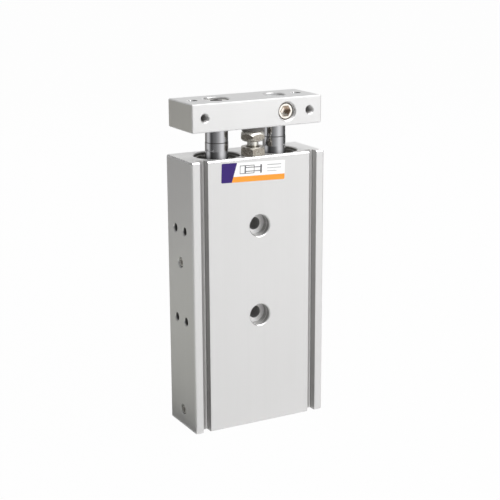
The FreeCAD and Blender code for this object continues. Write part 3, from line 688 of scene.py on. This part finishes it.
skinLook = dict(
    speckGrain=(9.0, 9.0, 9.0),
    toneBy=(0.25, 0.55, 0.2),
    toneRange=(0.34, 0.66),
    roughBy=(0.16, 0.1),
)


def smallMetal(look):
    f = Finish(look["name"])
    axes = {
        "pair": (abs(f.x) - boreAcross, f.y, f.z),
        "left": (f.x + boreAcross, f.y, f.z),
        "clamp": (f.x - boreAcross, f.z - plateLevel, f.y),
        "port": (f.y, abs(f.z - portMiddle) - portReach, f.x),
        "stop": (f.x, f.y - stopAlong, f.z),
    }
    first, second, along = axes[look["axis"]]
    marks = f.turning(f.gap(first, second), along, look["pitch"])
    patch = f.noise([look["patch"]] * 3, detail=4.0, roughness=0.6)
    speck = f.noise(skinLook["speckGrain"])
    share = f.step(f.blend(skinLook["toneBy"], marks, patch, speck), *skinLook["toneRange"])
    tone = f.mix(share, look["dull"], look["bright"])
    metal = look.get("metal", 1.0)
    if "detail" in look:
        tone, metal = look["detail"](f, first, second, along, tone)
    return f.shade({
        "Base Color": tone,
        "Metallic": metal,
        "Roughness": look["roughness"] + f.sway(skinLook["roughBy"], patch, speck),
        "Normal": f.bump(look["marks"] * marks + look["depth"] * patch),
    })


# Moulded pieces: pads, seals and the magnets' carrier
mouldings = dict(
    bumper_urethane=dict(
        name="black_urethane", bright=(0.20, 0.19, 0.18), dull=(0.12, 0.11, 0.10),
        roughness=0.42, pebble=3.0, depth=0.012),
    seal_rubber=dict(
        name="nitrile_rubber", bright=(0.032, 0.032, 0.033), dull=(0.012, 0.012, 0.012),
        roughness=0.50, pebble=4.0, depth=0.010),
    magnet_plastic=dict(
        name="bonded_magnet", bright=(0.085, 0.083, 0.08), dull=(0.03, 0.03, 0.032),
        roughness=0.55, pebble=5.0, depth=0.015),
)
mouldLook = dict(
    bloomGrain=(0.3, 0.3, 0.3),
    toneBy=(0.4, 0.6),
    roughBy=(0.1, 0.2),
)


def moulding(look):
    f = Finish(look["name"])
    pebble = f.noise([look["pebble"]] * 3, detail=3.0)
    bloom = f.noise(mouldLook["bloomGrain"], detail=3.0)
    return f.shade({
        "Base Color": f.mix(f.blend(mouldLook["toneBy"], pebble, bloom), look["dull"], look["bright"]),
        "Roughness": look["roughness"] + f.sway(mouldLook["roughBy"], pebble, bloom),
        "Normal": f.bump(look["depth"] * pebble),
    })


finishes = {
    "body_anodised": housingAnodise(),
    "plate_anodised": plateAnodise(),
    "rod_chrome": rodChrome(),
}
for slot, look in smallMetals.items():
    finishes[slot] = smallMetal(look)
for slot, look in mouldings.items():
    finishes[slot] = moulding(look)
for node in nodes.values():
    node.data.materials[0] = finishes[node.data.materials[0].name]
print("finishes on", len(nodes), "nodes")


# Modelling helpers: sizes come in millimetres, and every piece ends with its place in its mesh
def metres(place):
    return [part * mm for part in place]


def begin(primitive, place, turn=(0, 0, 0), stretch=(1, 1, 1), **settings):
    bpy.ops.object.select_all(action="DESELECT")
    primitive(location=metres(place), rotation=turn, **settings)
    piece = bpy.context.object
    piece.scale = stretch
    settle(piece)
    return piece


def settle(piece):
    bpy.ops.object.select_all(action="DESELECT")
    bpy.context.view_layer.objects.active = piece
    piece.select_set(True)
    bpy.ops.object.transform_apply(location=True, rotation=True, scale=True)


def editing(on):
    bpy.ops.object.mode_set(mode="EDIT" if on else "OBJECT")


def choose(piece, kind, test):
    bpy.ops.mesh.select_mode(type={"verts": "VERT", "edges": "EDGE"}[kind])
    bpy.ops.mesh.select_all(action="DESELECT")
    mesh = bmesh.from_edit_mesh(piece.data)
    for element in getattr(mesh, kind):
        element.select_set(test(element))
    mesh.select_flush_mode()
    bmesh.update_edit_mesh(piece.data)


def chooseAll():
    bpy.ops.mesh.select_all(action="SELECT")


def extrudeBy(across, along, up):
    bpy.ops.mesh.extrude_region_move(TRANSFORM_OT_translate={"value": metres((across, along, up))})


def widen(share, centre):
    bpy.ops.transform.resize(value=(share, share, 1), center_override=centre)


weld = 0.0005  # points closer than this become one


def closeUp():
    chooseAll()
    bpy.ops.mesh.remove_doubles(threshold=weld * mm)
    chooseAll()
    bpy.ops.mesh.fill_holes(sides=0)
    chooseAll()
    bpy.ops.mesh.normals_make_consistent(inside=False)


def closePiece():
    editing(True)
    closeUp()
    editing(False)


def modify(piece, kind, **settings):
    bpy.context.view_layer.objects.active = piece
    modifier = piece.modifiers.new(kind.lower(), kind)
    for key, value in settings.items():
        setattr(modifier, key, value)
    bpy.ops.object.modifier_apply(modifier=modifier.name)


def wind(piece, pitch, turns, steps):
    modify(piece, "SCREW", axis="Z", angle=math.tau, screw_offset=pitch * mm, iterations=turns, steps=steps,
           render_steps=steps, use_smooth_shade=True)


smoothAngle = math.radians(30)


def finishPiece(piece, name, body, slot):
    settle(piece)
    piece.name = name
    piece.data.name = name
    piece.data.materials.clear()
    piece.data.materials.append(finishes[slot])
    bpy.ops.object.shade_smooth_by_angle(angle=smoothAngle)
    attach(piece, body)


# Stop bolt with a double chamfered hexagon and a real thread
boltLook = dict(
    across=0.0,
    along=stopAlong,
    headLow=126.1,
    headHeight=4.4,
    flats=10.0,
    turn=2.0,
    footInset=0.62,
    footSlope=1.0,
    crownInset=0.95,
    crownSlope=math.tan(math.radians(50)),
    coneReach=6.0,
    coneSides=96,
    edge=0.07,
    edgeAngle=math.radians(28),
    neckLow=122.9,
    neckRadius=2.42,
    neckSides=64,
    neckSunk=0.5,  # the neck's foot is narrower and stands in the thread
    neckTaper=0.1,
    flareRadius=2.8,
    flareLow=0.4,  # begins this far below the head and ends in it
    flareHeight=0.5,
    shankLow=106.5,
    pitch=1.0,
    turns=16,
    steps=48,
    crest=2.96,
    root=2.42,
    flankShare=0.40,  # shares of the pitch
    crestShare=0.12,
    rootShare=0.08,
)


def boltPlace(level):
    return boltLook["across"], boltLook["along"], level


def boltHead():
    look = boltLook
    head = begin(bpy.ops.mesh.primitive_cylinder_add, boltPlace(look["headLow"] + look["headHeight"] / 2),
                 turn=(0, 0, math.radians(30 + look["turn"])), vertices=6,
                 radius=look["flats"] / math.sqrt(3) * mm, depth=look["headHeight"] * mm)
    # a round body with a cone at each end, whose common part with the hexagon is the head
    centre = metres(boltPlace(0))
    foot = look["flats"] / 2 - look["footInset"]
    crown = look["flats"] / 2 - look["crownInset"]
    footRise = (look["coneReach"] - foot) * look["footSlope"]
    crownFall = (look["coneReach"] - crown) * look["crownSlope"]
    cones = begin(bpy.ops.mesh.primitive_circle_add, boltPlace(look["headLow"]), vertices=look["coneSides"],
                  radius=foot * mm, fill_type="NGON")
    editing(True)
    chooseAll()
    extrudeBy(0, 0, footRise)
    widen(look["coneReach"] / foot, centre)
    extrudeBy(0, 0, look["headHeight"] - footRise - crownFall)
    extrudeBy(0, 0, crownFall)
    widen(crown / look["coneReach"], centre)
    closeUp()
    editing(False)
    modify(head, "BOOLEAN", operation="INTERSECT", object=cones, solver="EXACT")
    bpy.data.objects.remove(cones)
    modify(head, "BEVEL", width=look["edge"] * mm, segments=2, limit_method="ANGLE",
           angle_limit=look["edgeAngle"])
    closePiece()
    return head


# plain neck between the thread and the head, flared under the head
def boltNeck():
    look = boltLook
    centre = metres(boltPlace(0))
    foot = look["neckRadius"] - look["neckTaper"]
    neck = begin(bpy.ops.mesh.primitive_circle_add, boltPlace(look["neckLow"] - look["neckSunk"]),
                 vertices=look["neckSides"], radius=foot * mm, fill_type="NGON")
    editing(True)
    chooseAll()
    extrudeBy(0, 0, look["neckSunk"])
    widen(look["neckRadius"] / foot, centre)
    extrudeBy(0, 0, look["headLow"] - look["neckLow"] - look["flareLow"])
    extrudeBy(0, 0, look["flareHeight"])
    widen(look["flareRadius"] / look["neckRadius"], centre)
    closeUp()
    editing(False)
    return neck


def boltShank():
    look = boltLook
    shank = begin(bpy.ops.mesh.primitive_plane_add, (look["root"], 0, 0), size=mm)
    depth = look["crest"] - look["root"]
    editing(True)
    chooseAll()
    bpy.ops.mesh.merge(type="CENTER")
    extrudeBy(depth, 0, look["flankShare"] * look["pitch"])
    extrudeBy(0, 0, look["crestShare"] * look["pitch"])
    extrudeBy(-depth, 0, look["flankShare"] * look["pitch"])
    extrudeBy(0, 0, look["rootShare"] * look["pitch"])
    editing(False)
    wind(shank, look["pitch"], look["turns"], look["steps"])
    shank.location = metres(boltPlace(look["shankLow"]))
    settle(shank)
    closePiece()
    return shank


head = boltHead()
neck = boltNeck()
shank = boltShank()
head.select_set(True)
neck.select_set(True)
bpy.context.view_layer.objects.active = head
bpy.ops.object.join()
finishPiece(head, "stop_bolt_threaded", "stop", "stop_plated")
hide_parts("stop_bolt")
print("stop bolt made,", len(head.data.polygons), "faces")


# Threads in the tapped holes: one coil for each size, sunk in the wall of its hole
threadLook = dict(
    small=dict(wall=1.70, crest=1.46, pitch=0.7, turns=8, start=0.42),
    port=dict(wall=2.15, crest=1.90, pitch=0.8, turns=5, start=0.52),
    clamp=dict(wall=4.02, crest=3.72, pitch=0.9, turns=2, start=0.35),
    sunk=0.06,
    footShare=0.8,  # of the pitch, at the wall
    crestShare=0.16,  # of the foot
    steps=32,
)
facingTurn = dict(
    up=(0, 0, 0),
    front=(math.pi / 2, 0, 0),
    left=(0, -math.pi / 2, 0),
    right=(0, math.pi / 2, 0),
)


def threadCoil(look):
    depth = look["wall"] + threadLook["sunk"] - look["crest"]
    middle = look["crest"] + depth / 2
    foot = threadLook["footShare"]
    low = -look["start"] - look["pitch"] * (look["turns"] + foot / 2)
    coil = begin(bpy.ops.mesh.primitive_plane_add, (middle, 0, low), turn=(math.pi / 2, 0, 0),
                 stretch=(depth, foot * look["pitch"], 1), size=mm)
    editing(True)
    choose(coil, "verts", lambda vertex: vertex.co.x < middle * mm)
    bpy.ops.transform.resize(value=(1, 1, threadLook["crestShare"]), center_override=(0, 0, low * mm))
    chooseAll()
    bpy.ops.mesh.delete(type="ONLY_FACE")
    editing(False)
    wind(coil, look["pitch"], look["turns"], threadLook["steps"])
    closePiece()
    return coil


def threadHole(coil, name, mouth, facing, body, slot):
    bpy.ops.object.select_all(action="DESELECT")
    bpy.context.view_layer.objects.active = coil
    coil.select_set(True)
    bpy.ops.object.duplicate()
    thread = bpy.context.object
    thread.rotation_euler = facingTurn[facing]
    thread.location = metres(mouth)
    finishPiece(thread, name, body, slot)


inPlate = ("rods_and_plate", "plate_anodised")
inHousing = ("housing", "body_anodised")
holes = []
for across, hand in ((-1, "left"), (1, "right")):
    top = (plateTapAcross * across, 0, plateTop)
    front = (plateTapAcross * across, plateFront, plateLevel)
    holes.append(("small", "plate_thread_top_" + hand, top, "up", *inPlate))
    holes.append(("small", "plate_thread_front_" + hand, front, "front", *inPlate))
    for along, row in ((-tapAlong, "front"), (tapAlong, "back")):
        for up, level in ((tapLevel - rowReach, "low"), (tapLevel + rowReach, "high")):
            name = "_".join(["side_thread", hand, row, level])
            holes.append(("small", name, (housingSide * across, along, up), hand, *inHousing))
for up, level in zip(portLevels, ("low", "high")):
    holes.append(("port", "port_thread_" + level, (housingSide, 0, up), "right", *inHousing))
holes.append(("clamp", "clamp_thread", (boreAcross, plateFront, plateLevel), "front", *inPlate))
coils = {size: threadCoil(threadLook[size]) for size in ("small", "port", "clamp")}
for size, *hole in holes:
    threadHole(coils[size], *hole)
for coil in coils.values():
    bpy.data.objects.remove(coil)
print("threads cut in", len(holes), "holes")


# Printed film label, set on a little askew
labelLook = dict(
    across=-3.0,
    face=housingFront,
    up=113.9,
    tilt=math.radians(1.9),
    length=30.4,
    height=8.3,
    film=0.08,
    sunk=0.01,
    corner=0.45,
    cornerSteps=5,
    metal=0.55,
    roughness=0.42,
    fibreGrain=(5.0, 5.0, 5.0),
    wornGrain=(0.4, 0.4, 0.4),
    roughBy=(0.06, 0.12),
    depths=(0.003, 0.006),
    white=(1.0, 1.0, 0.995),
    fibreTone=grey(0.90),
    fibreShare=0.08,
    violet=(0.045, 0.018, 0.19),
    violetWorn=(0.03, 0.012, 0.12),
    violetWear=0.4,
    orange=(1.0, 0.40, 0.05),
    orangeWorn=(0.86, 0.30, 0.035),
    orangeWear=0.3,
    ink=(0.06, 0.06, 0.07),
    inkShare=0.92,
    rule=(0.42, 0.42, 0.43),
    ruleShare=0.9,
    blockEdge=-9.1,
    blockSlant=0.28,
    stripeTop=-1.75,
    # left, right, low and high from the label's middle: a cylinder with its piston, two rods and plate
    signFrame=(-6.6, 0.4, -0.7, 2.9),
    signLine=0.28,
    signBars=[(-4.3, -3.7, -0.6, 2.8), (-3.7, 3.2, 1.75, 2.1), (-3.7, 3.2, 0.1, 0.45),
              (3.2, 4.0, -0.7, 2.9)],
    ruleBars=[(6.6, 13.4, 2.35, 2.75), (6.6, 13.4, 1.0, 1.3), (6.6, 11.2, -0.3, 0.0)],
)


def labelPrint():
    look = labelLook
    f = Finish("printed_film")
    x = f.x - look["across"]
    z = f.z - look["up"]
    u = math.cos(look["tilt"]) * x - math.sin(look["tilt"]) * z
    v = math.sin(look["tilt"]) * x + math.cos(look["tilt"]) * z

    def bar(left, right, low, high):
        return f.between(u, left, right) * f.between(v, low, high)

    fibre = f.noise(look["fibreGrain"], detail=3.0)
    worn = f.noise(look["wornGrain"], detail=4.0, roughness=0.6)
    violet = u < look["blockEdge"] + look["blockSlant"] * v
    orange = (v < look["stripeTop"]) * (1 - violet)
    left, right, low, high = look["signFrame"]
    line = look["signLine"]
    sign = bar(left, right, low, high) - bar(left + line, right - line, low + line, high - line)
    for row in look["signBars"]:
        sign = sign.highest(bar(*row))
    rules = bar(*look["ruleBars"][0])
    for row in look["ruleBars"][1:]:
        rules = rules.highest(bar(*row))
    tone = f.mix(look["fibreShare"] * fibre, look["white"], look["fibreTone"])
    tone = f.mix(orange, tone, f.mix(look["orangeWear"] * worn, look["orange"], look["orangeWorn"]))
    tone = f.mix(violet, tone, f.mix(look["violetWear"] * worn, look["violet"], look["violetWorn"]))
    tone = f.mix(sign * look["inkShare"], tone, look["ink"])
    tone = f.mix(rules * look["ruleShare"], tone, look["rule"])
    return f.shade({
        "Base Color": tone,
        "Metallic": look["metal"],
        "Roughness": look["roughness"] + f.sway(look["roughBy"], fibre, worn),
        "Normal": f.bump(f.blend(look["depths"], fibre, worn)),
    })


def makeLabel():
    look = labelLook
    middle = (look["across"], look["face"] - look["film"] / 2 + look["sunk"], look["up"])
    size = (look["length"], look["film"], look["height"])
    label = begin(bpy.ops.mesh.primitive_cube_add, middle, stretch=size, size=mm)
    editing(True)
    half = look["film"] / 2 * mm
    choose(label, "edges", lambda edge: abs(edge.verts[0].co.y - edge.verts[1].co.y) > half)
    bpy.ops.mesh.bevel(offset=look["corner"] * mm, segments=look["cornerSteps"], affect="EDGES")
    choose(label, "verts", lambda vertex: True)
    bpy.ops.transform.rotate(value=-look["tilt"], orient_axis="Y",
                             center_override=metres((look["across"], look["face"], look["up"])))
    closeUp()
    editing(False)
    finishPiece(label, "front_label", "housing", "label_film")


finishes["label_film"] = labelPrint()
makeLabel()
print("label on")


# Camera at the photograph's angle
viewpoint = dict(
    aim=(0.0, -3.5, 77.12),
    distance=556.0,
    azimuth=math.radians(-28.3),
    elevation=math.radians(14.68),
    roll=math.radians(-0.27),
    lens=91.5,
    sensor=36.0,
)


def placeCamera():
    turn = viewpoint["azimuth"]
    tilt = viewpoint["elevation"]
    ahead = Vector((-math.sin(turn) * math.cos(tilt), math.cos(turn) * math.cos(tilt), -math.sin(tilt)))
    bpy.ops.object.camera_add(location=(Vector(viewpoint["aim"]) - ahead * viewpoint["distance"]) * mm)
    camera = bpy.context.object
    level = Euler((math.pi / 2 - tilt, 0, turn)).to_matrix()
    camera.rotation_euler = (level @ Matrix.Rotation(viewpoint["roll"], 3, "Z")).to_euler()
    camera.data.lens = viewpoint["lens"]
    camera.data.sensor_width = viewpoint["sensor"]
    bpy.context.scene.camera = camera


# Studio, in metres: a white floor that keeps the shadow, a soft key from the right, a soft light over
# the back, and cards that only polished metal mirrors
studio = dict(
    floorSize=16.0,
    floorWhite=grey(0.92),
    floorGlow=0.98,  # share of plain white where the floor is seen or mirrored
    skyLevel=0.22,
    key=dict(place=(0.42, -0.80, 0.38), size=(0.7, 0.7), power=4.1),
    back=dict(place=(0.24, 0.62, 0.62), size=(0.9, 0.6), power=1.8),
    high=dict(place=(0.50, -0.25, 0.85), size=(0.5, 0.5), power=1.3),
    # a strip on the floor beside the shaded side, seen only in reflections, whose greys are painted floor
    # shade, at shares of the way out
    cloth=dict(near=-0.0326, far=-0.212, along=(-0.06, 0.34), lift=0.0004,
               greys=[(0.0, 0.02), (0.04, 0.24), (0.12, 0.37), (0.28, 0.48), (0.58, 0.60), (1.0, 0.67)],
               tint=(1.0, 1.01, 0.90)),
    # two pale cards for edges and flat tops
    ceiling=dict(place=(0.0, -0.42, 0.95), size=(1.4, 0.5), glow=3.0),
    backCard=dict(place=(0.29, 0.36, 0.33), size=(0.58, 0.38), glow=0.9),
)
towardsCamera = viewpoint["azimuth"] - math.pi / 2


# Share of the way round an upright axis, a half towards the camera
def turnShare(f, across):
    turn = f.y.math("ARCTAN2", f.y, across) - towardsCamera
    return turn.math("WRAP", turn, math.pi, -math.pi) / math.tau + 0.5


# only shiny surfaces see a card
def onlyMirrored(card, name, finish):
    card.name = name
    card.data.materials.append(finish)
    card.visible_camera = False
    card.visible_diffuse = False
    card.visible_shadow = False
    return card


def tube(place, radius, height):
    return begin(bpy.ops.mesh.primitive_cylinder_add, place, vertices=ringLook["sides"], radius=radius * mm,
                 depth=height * mm, end_fill_type="NOTHING")


# A low ring of greys: turn from the camera's side to the right, in degrees, and the grey there
ringLook = dict(
    radius=340.0,
    height=150.0,
    sides=96,
    greys=[(-180, 0.08), (-135, 0.30), (-114, 0.36), (-101, 0.82), (-79, 0.85), (-68, 0.40), (-57, 0.11),
           (-44, 0.11), (-33, 0.19), (-11, 0.27), (0, 0.36), (20, 0.58), (42, 1.0), (53, 1.2), (66, 1.12),
           (78, 0.9), (93, 0.58), (109, 0.18), (130, 0.12), (180, 0.08)],
    warmTo=-105,  # a little warm up to this turn
    warmth=0.03,
)


def ringGreys():
    f = Finish("grey_cards")
    stops = []
    for degrees, level in ringLook["greys"]:
        warmth = ringLook["warmth"] if degrees < ringLook["warmTo"] else 0
        stops.append((degrees / 360 + 0.5, grey(level, warmth)))
    return f.glow(f.ramp(turnShare(f, f.x), stops))


# Small cards in the bores' mouths, so that the rods mirror the ring's greys down to their feet
footLook = dict(
    rod=5.0,
    radius=7.0,
    low=117.9,
    full=121.0,
    high=121.7,
    right=(0.47, 0.6),  # shares of the way round
    leftLevels=(0.2, 0.9),  # at the foot and at the top
    rightLevels=(0.65, 1.05),
    middleFrom=(0.36, 0.42),  # darker before the middle
    middleTo=(0.50, 0.58),
    middleDim=(0.15, 0.5),  # at the foot and at the top
    topFade=0.2,
)


# Where a ray lands on a card close to the rod, if it would land at this turn on the far ring
def nearTurn(degrees):
    look = footLook
    half = math.radians(degrees) / 2
    ahead = look["rod"] * math.cos(half)
    reach = math.sqrt(ahead ** 2 + look["radius"] ** 2 - look["rod"] ** 2) - ahead
    return half + math.atan2(reach * math.sin(half), look["rod"] + reach * math.cos(half))


def footGreys():
    look = footLook
    f = Finish("foot_cards")
    share = turnShare(f, f.x - boreAcross * f.hand(f.x))
    stops = [(nearTurn(degrees) / math.tau + 0.5, grey(level)) for degrees, level in ringLook["greys"]]
    rise = f.step(f.z, look["low"], look["full"])

    def rising(low, high):
        return low + (high - low) * rise

    onLeft = rising(*look["leftLevels"])
    level = onLeft + (rising(*look["rightLevels"]) - onLeft) * f.step(share, *look["right"])
    middle = f.band(share, look["middleFrom"], look["middleTo"])
    middle = middle * (1 - look["topFade"] * f.step(f.z, look["full"], look["high"]))
    level = level * (1 - rising(*look["middleDim"]) * middle)
    return f.glow(f.mix(level, grey(0), f.ramp(share, stops)))


# the half of a short tube that stands towards the camera
def footCard(name, across, finish):
    look = footLook
    place = (across, 0, (look["low"] + look["high"]) / 2)
    card = tube(place, look["radius"], look["high"] - look["low"])
    editing(True)
    chooseAll()
    bpy.ops.mesh.bisect(plane_co=metres(place), clear_inner=True,
                        plane_no=(math.cos(towardsCamera), math.sin(towardsCamera), 0))
    editing(False)
    return onlyMirrored(card, name, finish)


def whiteFloor():
    f = Finish("white_floor")
    rays = [f.node("LightPath", out="Is %s Ray" % kind) for kind in ("Camera", "Glossy", "Transmission")]
    seen = rays[0].highest(rays[1]).highest(rays[2])
    plain = f.node("BsdfDiffuse", {"Color": studio["floorWhite"]})
    white = f.node("Emission", {"Color": grey(1.0), "Strength": 1.0})
    return f.surface(f.node("MixShader", {0: seen * studio["floorGlow"], 1: plain, 2: white}))


def mirroredShadeGreys():
    look = studio["cloth"]
    f = Finish("grey_cloth")
    share = (f.x * mm - look["near"]) / (look["far"] - look["near"])
    stops = [(place, [level * part for part in look["tint"]]) for place, level in look["greys"]]
    return f.glow(f.ramp(share, stops))


def plane(place, size, turn=(0, 0, 0)):
    middle = [part / mm for part in place]
    return begin(bpy.ops.mesh.primitive_plane_add, middle, turn=turn, stretch=(*size, 1), size=1)


def paleCard(name, finishName, look, turn):
    card = plane(look["place"], look["size"], turn)
    return onlyMirrored(card, name, Finish(finishName).glow(grey(1.0), look["glow"]))


def buildStage():
    floor = plane((0, 0, 0), (studio["floorSize"], studio["floorSize"]))
    floor.name = "studio_floor"
    floor.data.materials.append(whiteFloor())
    cards = tube((0, 0, ringLook["height"] / 2), ringLook["radius"], ringLook["height"])
    onlyMirrored(cards, "studio_cards", ringGreys())
    footFinish = footGreys()
    leftFoot = footCard("studio_foot_card_left", -boreAcross, footFinish)
    rightFoot = footCard("studio_foot_card_right", boreAcross, footFinish)
    cloth = studio["cloth"]
    low, high = cloth["along"]
    middle = ((cloth["near"] + cloth["far"]) / 2, (low + high) / 2, cloth["lift"])
    strip = plane(middle, (cloth["near"] - cloth["far"], high - low))
    onlyMirrored(strip, "studio_cloth", mirroredShadeGreys())
    canopy = paleCard("studio_ceiling", "ceiling_card", studio["ceiling"], (0, 0, 0))
    wall = paleCard("studio_back_card", "back_card", studio["backCard"], (math.pi / 2, 0, 0))


# a soft sky for the light, plain white where it shows above the floor
def softSky():
    world = bpy.data.worlds.new("soft_room")
    world.use_nodes = True
    f = Finish("soft_room", world.node_tree)
    seen = f.node("LightPath", out="Is Camera Ray")
    sky = f.node("Background", {"Color": grey(1.0), "Strength": studio["skyLevel"]})
    white = f.node("Background", {"Color": grey(1.0), "Strength": 1.0})
    f.feed(f.tree.nodes["World Output"], {"Surface": f.node("MixShader", {0: seen, 1: sky, 2: white})})
    bpy.context.scene.world = world


def softbox(name, look):
    bpy.ops.object.light_add(type="AREA", location=look["place"])
    lamp = bpy.context.object
    lamp.name = name
    lamp.data.shape = "RECTANGLE"
    lamp.data.size, lamp.data.size_y = look["size"]
    lamp.data.energy = look["power"]
    aim = Vector(viewpoint["aim"]) * mm
    lamp.rotation_euler = (aim - Vector(look["place"])).to_track_quat("-Z", "Y").to_euler()


placeCamera()
buildStage()
softSky()
for name in ("key", "back", "high"):
    softbox(name + "_softbox", studio[name])
bpy.context.scene.view_settings.view_transform = "Standard"
print("stage, lights and camera set")
